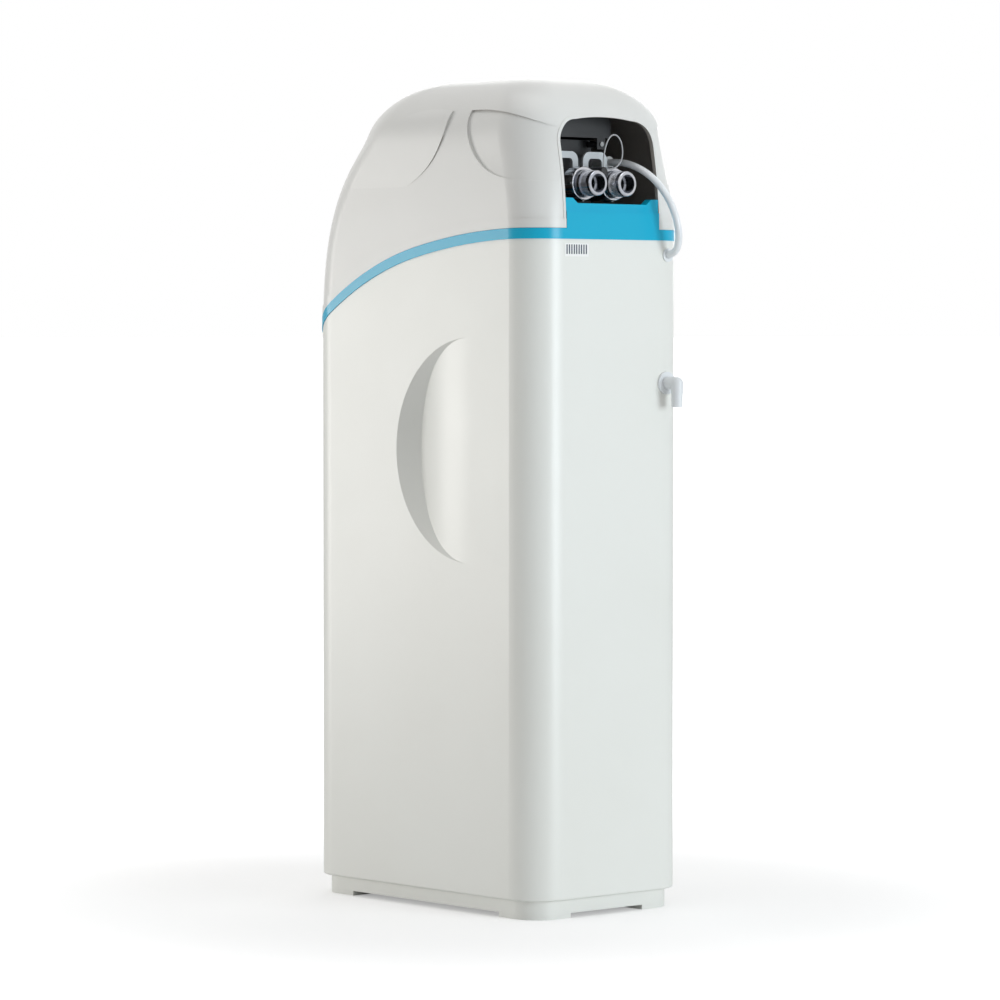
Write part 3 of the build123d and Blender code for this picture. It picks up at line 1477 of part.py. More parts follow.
# Thin sensor lead, looped above the ports with both ends on the sensor
lead_radius = lead_diameter / 2
lead_y = valve_at(lead_offset)
lead_route = (
    (sensor_x - 2.2, lead_y, sensor_z + sqrt(sensor_radius**2 - 2.2**2)),
    (-2.4, lead_y, 1001),
    (-4, lead_y + 0.5, 1014),
    (-8.5, lead_y + 1, 1026),
    (-16, lead_y + 1.5, 1034.5),
    (-26, lead_y + 1.5, 1034),
    (-33.5, lead_y + 1, 1026),
    (-37, lead_y + 0.5, 1014),
    (-36, lead_y, 1002),
    (-29, lead_y - 0.5, 993),
    (-18, lead_y - 0.5, 988.6),
    (sensor_x - sqrt(sensor_radius**2 - 2.5**2), lead_y, sensor_z + 2.5),
)
sensor_lead = tube(lead_route, lead_radius)
export(sensor_lead, "sensor_lead")
print("hinge axis", round(hinge_y, 3), round(hinge_z, 3))
print("panel normal", [round(v, 5) for v in panel_plane.z_dir], "pinion height", pinion_z)
print("grip plane and seats", round(mid_y, 3), round(piston_height, 3), round(port_height, 3))
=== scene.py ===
import math

import bmesh
import bpy
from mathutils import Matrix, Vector


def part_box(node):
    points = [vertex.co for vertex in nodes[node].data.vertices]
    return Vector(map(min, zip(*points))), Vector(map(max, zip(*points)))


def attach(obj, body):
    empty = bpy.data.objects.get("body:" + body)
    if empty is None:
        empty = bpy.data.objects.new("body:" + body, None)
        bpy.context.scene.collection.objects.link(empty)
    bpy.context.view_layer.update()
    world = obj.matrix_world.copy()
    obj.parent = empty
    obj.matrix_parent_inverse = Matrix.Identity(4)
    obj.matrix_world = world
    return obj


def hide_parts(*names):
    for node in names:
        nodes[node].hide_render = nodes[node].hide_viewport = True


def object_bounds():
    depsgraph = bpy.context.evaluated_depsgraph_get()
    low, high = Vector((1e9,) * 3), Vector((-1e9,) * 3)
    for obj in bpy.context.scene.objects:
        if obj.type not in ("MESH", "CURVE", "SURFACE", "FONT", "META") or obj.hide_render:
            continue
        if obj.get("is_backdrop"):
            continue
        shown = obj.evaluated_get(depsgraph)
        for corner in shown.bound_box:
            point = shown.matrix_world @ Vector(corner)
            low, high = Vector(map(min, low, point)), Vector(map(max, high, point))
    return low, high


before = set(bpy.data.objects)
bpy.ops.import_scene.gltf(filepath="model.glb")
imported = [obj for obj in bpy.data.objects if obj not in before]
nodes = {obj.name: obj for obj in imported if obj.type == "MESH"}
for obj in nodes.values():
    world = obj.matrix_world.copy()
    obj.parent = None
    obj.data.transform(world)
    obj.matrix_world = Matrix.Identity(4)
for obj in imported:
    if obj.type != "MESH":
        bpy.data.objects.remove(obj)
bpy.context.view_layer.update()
scene = bpy.context.scene
midY = -0.0144  # centre of the cabinet, in front of the origin because the hose reaches out behind
rearY = midY + 0.232
vesselY = midY + 0.115
print("frame loaded with", len(nodes), "nodes")

# camera at the photograph's own angle
shot = {
    "place": (4.0688, 4.5493, 0.7739),
    "heading": (-0.6661, -0.7458),
    "dip": 2.15,
    "lens": 161.7,
    "sensor": 36,
}
viewData = bpy.data.cameras.new("viewCamera")
viewCamera = bpy.data.objects.new("viewCamera", viewData)
scene.collection.objects.link(viewCamera)
viewData.lens = shot["lens"]
viewData.sensor_width = shot["sensor"]
dipAngle = math.radians(shot["dip"])
levelShare = math.cos(dipAngle)
ahead = Vector((shot["heading"][0] * levelShare, shot["heading"][1] * levelShare, -math.sin(dipAngle)))
viewCamera.location = shot["place"]
viewCamera.rotation_mode = "QUATERNION"
viewCamera.rotation_quaternion = ahead.to_track_quat("-Z", "Y")
scene.camera = viewCamera
print("camera placed")


# hose, brine line and sensor lead, each one smooth line along its route's points
def cordPiece(name, size):
    curve = bpy.data.curves.new(name, "CURVE")
    curve.dimensions = "3D"
    line = curve.splines.new("NURBS")
    line.points.add(len(size["route"]) - 1)
    for point, spot in zip(line.points, size["route"]):
        point.co = (spot[0], spot[1], spot[2], 1)
    line.order_u = 3
    line.use_endpoint_u = True
    line.resolution_u = size["steps"]
    curve.bevel_depth = size["diameter"] / 2
    curve.bevel_resolution = size["roundness"]
    curve.use_fill_caps = True
    piece = bpy.data.objects.new(name, curve)
    scene.collection.objects.link(piece)
    return piece


hoseSize = {
    "diameter": 0.0095,
    "length": 0.208,
    "steps": 10,
    "roundness": 6,
    "route": (
        (-0.061, 0.1456, 1.0),
        (-0.061, 0.1656, 1.0),
        (-0.0612, 0.1836, 0.997),
        (-0.0635, 0.2026, 0.9905),
        (-0.0685, 0.2196, 0.9795),
        (-0.075, 0.2326, 0.9645),
        (-0.082, 0.2416, 0.946),
        (-0.088, 0.2466, 0.9255),
        (-0.093, 0.2471, 0.905),
        (-0.0968, 0.2416, 0.8885),
        (-0.0992, 0.2321, 0.8782),
        (-0.0997, 0.2196, 0.8757),
    ),
}
lineSize = {
    "diameter": 0.0095,
    "length": 0.365,
    "steps": 8,
    "roundness": 5,
    "route": (
        (-0.0997, 0.2184, 0.8757),
        (-0.0997, 0.1916, 0.8757),
        (-0.11, 0.1656, 0.871),
        (-0.117, 0.1256, 0.86),
        (-0.119, 0.0756, 0.846),
        (-0.116, 0.0256, 0.832),
        (-0.104, -0.0104, 0.816),
        (-0.084, -0.0284, 0.798),
        (-0.066, -0.0334, 0.776),
        (-0.06, -0.0284, 0.752),
        (-0.06, -0.0284, 0.7135),
    ),
}
leadSize = {
    "diameter": 0.002,
    "length": 0.126,
    "steps": 10,
    "roundness": 3,
    "route": (
        (-0.0022, 0.1966, 0.99078),
        (-0.0024, 0.1966, 1.001),
        (-0.004, 0.1971, 1.014),
        (-0.0085, 0.1976, 1.026),
        (-0.016, 0.1981, 1.0345),
        (-0.026, 0.1981, 1.034),
        (-0.0335, 0.1976, 1.026),
        (-0.037, 0.1971, 1.014),
        (-0.036, 0.1966, 1.002),
        (-0.029, 0.1961, 0.993),
        (-0.018, 0.1961, 0.9886),
        (-0.00545, 0.1966, 0.9877),
    ),
}
hosePiece = cordPiece("hoseWhite", hoseSize)
linePiece = cordPiece("lineToWell", lineSize)
leadPiece = cordPiece("sensorLoop", leadSize)
print("cords made")


# node helpers
def addNode(tree, kind, place=(0, 0), **settings):
    node = tree.nodes.new(kind)
    node.location = place
    for key, value in settings.items():
        setattr(node, key, value)
    return node


def setInput(node, **values):
    for key, value in values.items():
        node.inputs[key.replace("_", " ")].default_value = value


def newGroup(name, inputs, outputs):
    tree = bpy.data.node_groups.new(name, "ShaderNodeTree")
    kinds = {"value": "NodeSocketFloat", "colour": "NodeSocketColor", "vector": "NodeSocketVector"}
    for label, kind, value in inputs:
        socket = tree.interface.new_socket(name=label, in_out="INPUT", socket_type=kinds[kind])
        socket.default_value = value
    for label, kind in outputs:
        tree.interface.new_socket(name=label, in_out="OUTPUT", socket_type=kinds[kind])
    return tree, addNode(tree, "NodeGroupInput", (-900, 0)), addNode(tree, "NodeGroupOutput", (700, 0))


def linear(red, green, blue):
    tones = []
    for tone in (red, green, blue):
        share = tone / 255
        tones.append(share / 12.92 if share <= 0.04045 else ((share + 0.055) / 1.055) ** 2.4)
    return (*tones, 1)


def mathNode(tree, kind, place, first=None, second=None):
    node = addNode(tree, "ShaderNodeMath", place, operation=kind)
    for slot, value in enumerate((first, second)):
        if value is None:
            continue
        if hasattr(value, "is_output"):
            tree.links.new(value, node.inputs[slot])
        else:
            node.inputs[slot].default_value = value
    return node.outputs[0]


# shared effects, each one a node group that puts out a colour, a mask or a height
def mouldGrainGroup():
    tree, groupIn, groupOut = newGroup(
        "mouldGrain",
        [("Scale", "value", 900.0), ("Amount", "value", 0.4), ("Flow", "value", 0.3)],
        [("Height", "value")],
    )
    place = addNode(tree, "ShaderNodeTexCoord", (-900, -250)).outputs["Object"]
    fine = addNode(tree, "ShaderNodeTexNoise", (-600, 150))
    setInput(fine, Detail=3.0, Roughness=0.6)
    tree.links.new(place, fine.inputs["Vector"])
    tree.links.new(groupIn.outputs["Scale"], fine.inputs["Scale"])
    waves = addNode(tree, "ShaderNodeTexNoise", (-600, -200))
    setInput(waves, Scale=14.0, Detail=1.0)
    tree.links.new(place, waves.inputs["Vector"])
    fineHeight = mathNode(tree, "MULTIPLY", (-300, 150), fine.outputs[0], groupIn.outputs["Amount"])
    waveHeight = mathNode(tree, "MULTIPLY", (-300, -200), waves.outputs[0], groupIn.outputs["Flow"])
    tree.links.new(mathNode(tree, "ADD", (0, 0), fineHeight, waveHeight), groupOut.inputs["Height"])
    return tree


def softMottleGroup():
    tree, groupIn, groupOut = newGroup(
        "softMottle",
        [
            ("Colour", "colour", (0.8, 0.8, 0.8, 1)),
            ("Tint", "colour", (0.7, 0.68, 0.6, 1)),
            ("Strength", "value", 0.1),
            ("Scale", "value", 3.0),
        ],
        [("Colour", "colour")],
    )
    place = addNode(tree, "ShaderNodeTexCoord", (-900, -250)).outputs["Object"]
    clouds = addNode(tree, "ShaderNodeTexNoise", (-600, -100))
    setInput(clouds, Detail=4.0, Roughness=0.55)
    tree.links.new(place, clouds.inputs["Vector"])
    tree.links.new(groupIn.outputs["Scale"], clouds.inputs["Scale"])
    spread = addNode(tree, "ShaderNodeMapRange", (-350, -100), interpolation_type="SMOOTHSTEP")
    setInput(spread, From_Min=0.35, From_Max=0.75)
    tree.links.new(clouds.outputs[0], spread.inputs["Value"])
    share = mathNode(tree, "MULTIPLY", (-100, -50), spread.outputs[0], groupIn.outputs["Strength"])
    mix = addNode(tree, "ShaderNodeMix", (250, 100), data_type="RGBA")
    tree.links.new(share, mix.inputs[0])
    tree.links.new(groupIn.outputs["Colour"], mix.inputs[6])
    tree.links.new(groupIn.outputs["Tint"], mix.inputs[7])
    tree.links.new(mix.outputs[2], groupOut.inputs["Colour"])
    return tree


def handledGroup():
    tree, groupIn, groupOut = newGroup(
        "handledGloss",
        [("Base", "value", 0.3), ("Spread", "value", 0.08), ("Scale", "value", 9.0)],
        [("Roughness", "value")],
    )
    place = addNode(tree, "ShaderNodeTexCoord", (-900, -250)).outputs["Object"]
    smears = addNode(tree, "ShaderNodeTexNoise", (-600, -50))
    setInput(smears, Detail=6.0, Roughness=0.65, Distortion=0.6)
    tree.links.new(place, smears.inputs["Vector"])
    tree.links.new(groupIn.outputs["Scale"], smears.inputs["Scale"])
    centred = mathNode(tree, "SUBTRACT", (-350, -50), smears.outputs[0], 0.5)
    swing = mathNode(tree, "MULTIPLY", (-150, -50), centred, groupIn.outputs["Spread"])
    roughness = mathNode(tree, "ADD", (100, 0), swing, groupIn.outputs["Base"])
    tree.links.new(roughness, groupOut.inputs["Roughness"])
    return tree


def lathedGroup():
    tree, groupIn, groupOut = newGroup(
        "latheMarks",
        [("Scale", "value", 1400.0), ("Amount", "value", 0.5)],
        [("Height", "value")],
    )
    place = addNode(tree, "ShaderNodeTexCoord", (-900, -250)).outputs["Object"]
    squeeze = addNode(tree, "ShaderNodeMapping", (-700, -150))
    squeeze.inputs["Scale"].default_value = (0.02, 1, 0.02)
    tree.links.new(place, squeeze.inputs["Vector"])
    marks = addNode(tree, "ShaderNodeTexNoise", (-450, -50))
    setInput(marks, Detail=2.0)
    tree.links.new(squeeze.outputs[0], marks.inputs["Vector"])
    tree.links.new(groupIn.outputs["Scale"], marks.inputs["Scale"])
    height = mathNode(tree, "MULTIPLY", (-150, 50), marks.outputs[0], groupIn.outputs["Amount"])
    tree.links.new(height, groupOut.inputs["Height"])
    return tree


# mask of the faces turned toward a centre point, used to paint shade on a shell's inner faces
def inwardShadeGroup():
    tree, groupIn, groupOut = newGroup(
        "inwardShadeFaces",
        [("Centre", "vector", (0, 0, 0)), ("Softness", "value", 0.02)],
        [("Mask", "value")],
    )
    shape = addNode(tree, "ShaderNodeNewGeometry", (-900, -250))
    place = addNode(tree, "ShaderNodeTexCoord", (-900, -500)).outputs["Object"]
    fromCentre = addNode(tree, "ShaderNodeVectorMath", (-600, -150), operation="SUBTRACT")
    tree.links.new(place, fromCentre.inputs[0])
    tree.links.new(groupIn.outputs["Centre"], fromCentre.inputs[1])
    facing = addNode(tree, "ShaderNodeVectorMath", (-350, -150), operation="DOT_PRODUCT")
    tree.links.new(fromCentre.outputs[0], facing.inputs[0])
    tree.links.new(shape.outputs["True Normal"], facing.inputs[1])
    step = addNode(tree, "ShaderNodeMapRange", (-50, -50), interpolation_type="SMOOTHSTEP")
    setInput(step, From_Min=0.0, To_Min=1.0, To_Max=0.0)
    tree.links.new(facing.outputs["Value"], step.inputs["Value"])
    tree.links.new(groupIn.outputs["Softness"], step.inputs["From Max"])
    tree.links.new(step.outputs[0], groupOut.inputs["Mask"])
    return tree


def windingGroup():
    tree, groupIn, groupOut = newGroup(
        "fibreWinding",
        [("Pitch", "value", 160.0), ("Lean", "value", 0.5), ("Strands", "value", 16.0)],
        [("Height", "value")],
    )
    place = addNode(tree, "ShaderNodeTexCoord", (-900, -250)).outputs["Object"]
    parts = addNode(tree, "ShaderNodeSeparateXYZ", (-700, -250))
    tree.links.new(place, parts.inputs[0])
    depth = mathNode(tree, "SUBTRACT", (-500, -350), parts.outputs[1], vesselY)
    turn = mathNode(tree, "ARCTAN2", (-350, -300), parts.outputs[0], depth)
    slant = mathNode(tree, "MULTIPLY", (-200, -300), turn, groupIn.outputs["Lean"])
    climb = mathNode(tree, "MULTIPLY", (-350, -100), parts.outputs[2], groupIn.outputs["Pitch"])
    twist = mathNode(tree, "MULTIPLY", (-50, -300), slant, groupIn.outputs["Strands"])
    first = mathNode(tree, "SINE", (250, -100), mathNode(tree, "ADD", (100, -100), climb, twist))
    second = mathNode(tree, "SINE", (250, -300), mathNode(tree, "SUBTRACT", (100, -300), climb, twist))
    weave = mathNode(tree, "MAXIMUM", (400, -200), first, second)
    tree.links.new(weave, groupOut.inputs["Height"])
    return tree


groups = {
    "grain": mouldGrainGroup(),
    "mottle": softMottleGroup(),
    "handled": handledGroup(),
    "lathe": lathedGroup(),
    "inwardShade": inwardShadeGroup(),
    "winding": windingGroup(),
}


def placeGroup(tree, key, place, **values):
    node = addNode(tree, "ShaderNodeGroup", place, node_tree=groups[key])
    setInput(node, **values)
    return node


def blankMaterial(name):
    material = bpy.data.materials.new(name)
    material.use_nodes = True
    tree = material.node_tree
    tree.nodes.clear()
    shader = addNode(tree, "ShaderNodeBsdfPrincipled", (400, 0))
    output = addNode(tree, "ShaderNodeOutputMaterial", (700, 0))
    tree.links.new(shader.outputs[0], output.inputs["Surface"])
    return material, tree, shader


def bumpFrom(tree, shader, height, strength, distance):
    bump = addNode(tree, "ShaderNodeBump", (100, -350))
    setInput(bump, Strength=strength, Distance=distance)
    tree.links.new(height, bump.inputs["Height"])
    tree.links.new(bump.outputs[0], shader.inputs["Normal"])


def mixColour(tree, mask, first, second, place):
    mix = addNode(tree, "ShaderNodeMix", place, data_type="RGBA")
    tree.links.new(mask, mix.inputs[0])
    for slot, value in ((6, first), (7, second)):
        if hasattr(value, "is_output"):
            tree.links.new(value, mix.inputs[slot])
        else:
            mix.inputs[slot].default_value = value
    return mix.outputs[2]


def mouldedPlastic(name, finish):
    material, tree, shader = blankMaterial(name)
    mottle = placeGroup(
        tree,
        "mottle",
        (-300, 200),
        Colour=finish["colour"],
        Tint=finish["tint"],
        Strength=finish["mottle"],
        Scale=finish["mottleScale"],
    )
    surface = mottle.outputs[0]
    # painted shade: faces turned toward the centre get a darker colour that stands for the shade inside the
    # shell
    if "inside" in finish:
        inwardShade = placeGroup(tree, "inwardShade", (-300, 400), Centre=finish["centre"], Softness=finish["softness"])
        surface = mixColour(tree, inwardShade.outputs[0], surface, finish["inside"], (100, 250))
    tree.links.new(surface, shader.inputs["Base Color"])
    handled = placeGroup(
        tree,
        "handled",
        (-300, -50),
        Base=finish["rough"],
        Spread=finish["spread"],
        Scale=finish["smearScale"],
    )
    tree.links.new(handled.outputs[0], shader.inputs["Roughness"])
    grain = placeGroup(
        tree, "grain", (-300, -350), Scale=finish["grainScale"], Amount=finish["grain"], Flow=finish["flow"]
    )
    bumpFrom(tree, shader, grain.outputs[0], finish["bump"], finish["depth"])
    shader.inputs["IOR"].default_value = 1.48
    shader.inputs["Specular IOR Level"].default_value = finish["specular"]
    shader.inputs["Coat Weight"].default_value = finish["coat"]
    shader.inputs["Coat Roughness"].default_value = finish["coatRough"]
    return material


plain = {
    "tint": linear(196, 190, 172),
    "mottle": 0.08,
    "mottleScale": 2.5,
    "rough": 0.36,
    "spread": 0.08,
    "smearScale": 9.0,
    "grain": 0.35,
    "grainScale": 900.0,
    "flow": 0.15,
    "bump": 0.12,
    "depth": 0.0004,
    "coat": 0.0,
    "coatRough": 0.1,
    "specular": 0.5,
}
plastics = {
    "cabinetWhite": {"colour": linear(237, 238, 233), "rough": 0.34, "coat": 0.06, "coatRough": 0.22},
    "hoodWhite": {
        "colour": linear(226, 226, 223),
        "rough": 0.34,
        "mottle": 0.04,
        "bump": 0.05,
        "specular": 0.4,
        "coat": 0.08,
        "coatRough": 0.16,
        # painted shade: the inner faces of the hood and lid take this darker colour for the shade inside the
        # hood
        "inside": linear(168, 162, 156),
        "centre": (0, midY + 0.01, 0.96),
        "softness": 0.004,
    },
    "bandBlue": {
        "colour": linear(0, 176, 212),
        "tint": linear(0, 150, 190),
        "mottle": 0.25,
        "rough": 0.3,
        "specular": 0.3,
        "coat": 0.1,
        "coatRough": 0.16,
        "bump": 0.06,
    },
    "charcoal": {
        "colour": linear(48, 49, 51),
        "tint": linear(70, 68, 64),
        "mottle": 0.3,
        "rough": 0.46,
        "grain": 0.6,
        "bump": 0.2,
    },
    "innerWhite": {
        "colour": linear(226, 228, 227),
        "tint": linear(196, 194, 184),
        "mottle": 0.2,
        "rough": 0.4,
    },
    "fittingGrey": {
        "colour": linear(232, 235, 237),
        "tint": linear(190, 194, 196),
        "mottle": 0.15,
        "rough": 0.38,
    },
    "clipGrey": {
        "colour": linear(214, 219, 222),
        "tint": linear(184, 190, 194),
        "mottle": 0.25,
        "rough": 0.42,
    },
    "hoseWhite": {
        "colour": linear(240, 243, 245),
        "tint": linear(212, 219, 226),
        "mottle": 0.3,
        "mottleScale": 40.0,
        "rough": 0.3,
        "coat": 0.2,
    },
    "leadGrey": {
        "colour": linear(176, 178, 180),
        "tint": linear(132, 132, 134),
        "mottle": 0.4,
        "mottleScale": 120.0,
        "rough": 0.4,
    },
    "darkRubber": {
        "colour": linear(38, 38, 40),
        "tint": linear(62, 60, 58),
        "mottle": 0.4,
        "rough": 0.6,
        "bump": 0.25,
    },
    "sensorBlack": {"colour": linear(34, 34, 37), "tint": linear(60, 60, 62), "mottle": 0.3, "rough": 0.33},
    "buttonGrey": {
        "colour": linear(168, 174, 180),
        "tint": linear(140, 144, 150),
        "mottle": 0.2,
        "rough": 0.45,
        "grain": 0.7,
    },
    "labelPaper": {
        "colour": linear(247, 247, 245),
        "tint": linear(226, 224, 216),
        "mottle": 0.2,
        "rough": 0.55,
        "grainScale": 400.0,
    },
    "barInk": {"colour": linear(72, 80, 96), "tint": linear(96, 104, 118), "mottle": 0.4, "rough": 0.5},
    "boardGreen": {
        "colour": linear(24, 92, 60),
        "tint": linear(18, 66, 46),
        "mottle": 0.6,
        "mottleScale": 60.0,
        "rough": 0.32,
        "coat": 0.5,
    },
    "resinAmber": {
        "colour": linear(178, 116, 44),
        "tint": linear(116, 66, 22),
        "mottle": 0.9,
        "mottleScale": 700.0,
        "rough": 0.4,
        "grain": 1.0,
        "bump": 0.8,
    },
}
finishes = {name: mouldedPlastic(name, {**plain, **finish}) for name, finish in plastics.items()}


def metalMaterial(name, finish):
    material, tree, shader = blankMaterial(name)
    lathe = placeGroup(tree, "lathe", (-300, -350), Scale=finish["marks"], Amount=finish["markHeight"])
    mottle = placeGroup(
        tree,
        "mottle",
        (-300, 200),
        Colour=finish["colour"],
        Tint=finish["tint"],
        Strength=finish["mottle"],
        Scale=finish["mottleScale"],
    )
    tree.links.new(mottle.outputs[0], shader.inputs["Base Color"])
    handled = placeGroup(
        tree,
        "handled",
        (-300, -50),
        Base=finish["rough"],
        Spread=finish["spread"],
        Scale=finish["smearScale"],
    )
    tree.links.new(handled.outputs[0], shader.inputs["Roughness"])
    bumpFrom(tree, shader, lathe.outputs[0], finish["bump"], finish["depth"])
    shader.inputs["Metallic"].default_value = 1.0
    return material


metals = {
    "chromePlate": {
        "colour": linear(204, 205, 208),
        "tint": linear(140, 150, 172),
        "mottle": 0.5,
        "mottleScale": 30.0,
        "rough": 0.2,
        "spread": 0.12,
        "smearScale": 60.0,
        "marks": 1400.0,
        "markHeight": 0.5,
        "bump": 0.08,
        "depth": 0.0002,
    },
    "zincSteel": {
        "colour": linear(188, 190, 192),
        "tint": linear(140, 138, 132),
        "mottle": 0.6,
        "mottleScale": 30.0,
        "rough": 0.34,
        "spread": 0.2,
        "smearScale": 60.0,
        "marks": 900.0,
        "markHeight": 0.8,
        "bump": 0.15,
        "depth": 0.0002,
    },
}
for name, finish in metals.items():
    finishes[name] = metalMaterial(name, finish)


def woundVessel(finish):
    material, tree, shader = blankMaterial("woundVessel")
    winding = placeGroup(
        tree, "winding", (-500, 0), Pitch=finish["pitch"], Lean=finish["lean"], Strands=finish["strands"]
    )
    mottle = placeGroup(
        tree,
        "mottle",
        (-500, 300),
        Colour=finish["colour"],
        Tint=finish["tint"],
        Strength=finish["mottle"],
        Scale=finish["mottleScale"],
    )
    ridge = addNode(tree, "ShaderNodeMapRange", (-250, 0))
    setInput(ridge, From_Min=-0.4, From_Max=1.0)
    tree.links.new(winding.outputs["Height"], ridge.inputs["Value"])
    share = mathNode(tree, "MULTIPLY", (-50, 60), ridge.outputs[0], finish["strandShare"])
    surface = mixColour(tree, share, mottle.outputs[0], finish["strand"], (150, 200))
    tree.links.new(surface, shader.inputs["Base Color"])
    handled = placeGroup(
        tree,
        "handled",
        (-300, -150),
        Base=finish["rough"],
        Spread=finish["spread"],
        Scale=finish["smearScale"],
    )
    tree.links.new(handled.outputs[0], shader.inputs["Roughness"])
    bumpFrom(tree, shader, winding.outputs["Height"], finish["bump"], finish["depth"])
    return material


finishes["woundVessel"] = woundVessel(
    {
        "pitch": 700.0,
        "lean": 1.0,
        "strands": 16.0,
        "colour": linear(96, 124, 142),
        "tint": linear(70, 96, 116),
        "strand": linear(150, 172, 184),
        "strandShare": 0.35,
        "mottle": 0.4,
        "mottleScale": 12.0,
        "rough": 0.28,
        "spread": 0.1,
        "smearScale": 20.0,
        "bump": 0.5,
        "depth": 0.0006,
    }
)


def displayGlass():
    material, tree, shader = blankMaterial("displayGlass")
    dark, lighter = linear(22, 34, 36), linear(30, 46, 48)
    mottle = placeGroup(tree, "mottle", (-300, 200), Colour=dark, Tint=lighter, Strength=0.5, Scale=25.0)
    tree.links.new(mottle.outputs[0], shader.inputs["Base Color"])
    handled = placeGroup(tree, "handled", (-300, -50), Base=0.08, Spread=0.08, Scale=90.0)
    tree.links.new(handled.outputs[0], shader.inputs["Roughness"])
    shader.inputs["Coat Weight"].default_value = 0.6
    return material


finishes["displayGlass"] = displayGlass()


def litSegment():
    material, tree, shader = blankMaterial("litSegment")
    lit, dimmer = linear(120, 214, 224), linear(90, 190, 206)
    grain = placeGroup(tree, "mottle", (-300, 200), Colour=lit, Tint=dimmer, Strength=0.5, Scale=400.0)
    tree.links.new(grain.outputs[0], shader.inputs["Base Color"])
    tree.links.new(grain.outputs[0], shader.inputs["Emission Color"])
    shader.inputs["Emission Strength"].default_value = 0.6
    shader.inputs["Roughness"].default_value = 0.4
    return material


finishes["litSegment"] = litSegment()
print("materials made:", len(finishes))

# each CAD piece's finish
wear = {
    "cabinetWhite": ("cabinet_shell",),
    "hoodWhite": ("hood", "salt_lid"),
    "bandBlue": ("trim_ring",),
    "labelPaper": ("rear_label",),
    "fittingGrey": ("overflow_bulkhead", "overflow_nut", "overflow_elbow", "hose_grommet"),
    "darkRubber": ("stub_seals_left", "stub_seals_right"),
    "charcoal": (
        "vessel_boot",
        "salt_grid",
        "valve_body",
        "valve_end_cap",
        "drive_bracket",
        "control_housing",
        "control_panel",
    ),
    "woundVessel": ("pressure_vessel",),
    "innerWhite": (
        "riser_tube",
        "lower_basket",
        "upper_basket",
        "brine_well",
        "brine_well_cap",
        "float_valve",
        "pickup_tube",
        "float_rod",
        "brine_float",
        "seal_cage",
        "piston",
        "drive_gear",
        "motor_pinion",
        "meter_turbine",
        "hose_fitting",
    ),
    "resinAmber": ("resin_bed",),
    "zincSteel": ("lid_hinge_pin", "drive_motor", "turbine_pin", "housing_screws"),
    "chromePlate": ("stub_connector_left", "stub_connector_right", "union_nut_left", "union_nut_right"),
    "clipGrey": ("retaining_clip_left", "retaining_clip_right"),
    "sensorBlack": ("flow_sensor", "power_inlet"),
    "displayGlass": ("display_window",),
    "boardGreen": ("circuit_board",),
    "buttonGrey": ("button_1", "button_2", "button_3", "button_4"),
}
for finish, names in wear.items():
    for name in names:
        nodes[name].data.materials.clear()
        nodes[name].data.materials.append(finishes[finish])
for piece, finish in ((hosePiece, "hoseWhite"), (linePiece, "hoseWhite"), (leadPiece, "leadGrey")):
    piece.data.materials.append(finishes[finish])
print("finishes given to the CAD pieces")


# Geometry Nodes: a tree becomes one plain mesh
def nodeTree(name, inputs):
    tree = bpy.data.node_groups.new(name, "GeometryNodeTree")
    kinds = {
        "float": "NodeSocketFloat",
        "int": "NodeSocketInt",
        "vector": "NodeSocketVector",
        "material": "NodeSocketMaterial",
    }
    for label, kind in inputs:
        tree.interface.new_socket(name=label, in_out="INPUT", socket_type=kinds[kind])
    tree.interface.new_socket(name="Geometry", in_out="OUTPUT", socket_type="NodeSocketGeometry")
    return tree, addNode(tree, "NodeGroupInput", (-900, 0)), addNode(tree, "NodeGroupOutput", (900, 0))


def meshFromTree(name, tree, values):
    host = bpy.data.objects.new(name, bpy.data.meshes.new(name + "Start"))
    scene.collection.objects.link(host)
    build = host.modifiers.new("build", "NODES")
    build.node_group = tree
    sockets = {item.name: item.identifier for item in tree.interface.items_tree if item.in_out == "INPUT"}
    for label, value in values.items():
        build[sockets[label]] = value
    graph = bpy.context.evaluated_depsgraph_get()
    made = bpy.data.meshes.new_from_object(host.evaluated_get(graph))
    host.modifiers.remove(build)
    host.data = made
    made.name = name
    return host


# row of plain bars on the rear label
barTree, barIn, barOut = nodeTree(
    "plainBars",
    [("Count", "int"), ("Bar", "vector"), ("Step", "float"), ("Start", "vector"), ("Finish", "material")],
)
barBox = addNode(barTree, "GeometryNodeMeshCube", (-600, -200))
barTree.links.new(barIn.outputs["Bar"], barBox.inputs["Size"])
barStep = addNode(barTree, "ShaderNodeCombineXYZ", (-600, 50))
barTree.links.new(barIn.outputs["Step"], barStep.inputs[0])
barLine = addNode(barTree, "GeometryNodeMeshLine", (-350, 100))
barTree.links.new(barIn.outputs["Count"], barLine.inputs["Count"])
barTree.links.new(barStep.outputs[0], barLine.inputs["Offset"])
barTree.links.new(barIn.outputs["Start"], barLine.inputs["Start Location"])
barCopies = addNode(barTree, "GeometryNodeInstanceOnPoints", (-50, 0))
barTree.links.new(barLine.outputs[0], barCopies.inputs["Points"])
barTree.links.new(barBox.outputs[0], barCopies.inputs["Instance"])
barReal = addNode(barTree, "GeometryNodeRealizeInstances", (250, 0))
barTree.links.new(barCopies.outputs[0], barReal.inputs[0])
barPaint = addNode(barTree, "GeometryNodeSetMaterial", (500, 0))
barTree.links.new(barReal.outputs[0], barPaint.inputs["Geometry"])
barTree.links.new(barIn.outputs["Finish"], barPaint.inputs["Material"])
barTree.links.new(barPaint.outputs[0], barOut.inputs[0])

labelBars = {
    "count": 9,
    "bar": (0.0022, 0.0001, 0.0125),
    "step": 0.0043,
    "start": (0.0482, rearY + 0.00034, 0.8815),
}
bars = meshFromTree(
    "labelBars",
    barTree,
    {
        "Count": labelBars["count"],
        "Bar": labelBars["bar"],
        "Step": labelBars["step"],
        "Start": labelBars["start"],
        "Finish": finishes["barInk"],
    },
)
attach(bars, "base")
print("label bars made")

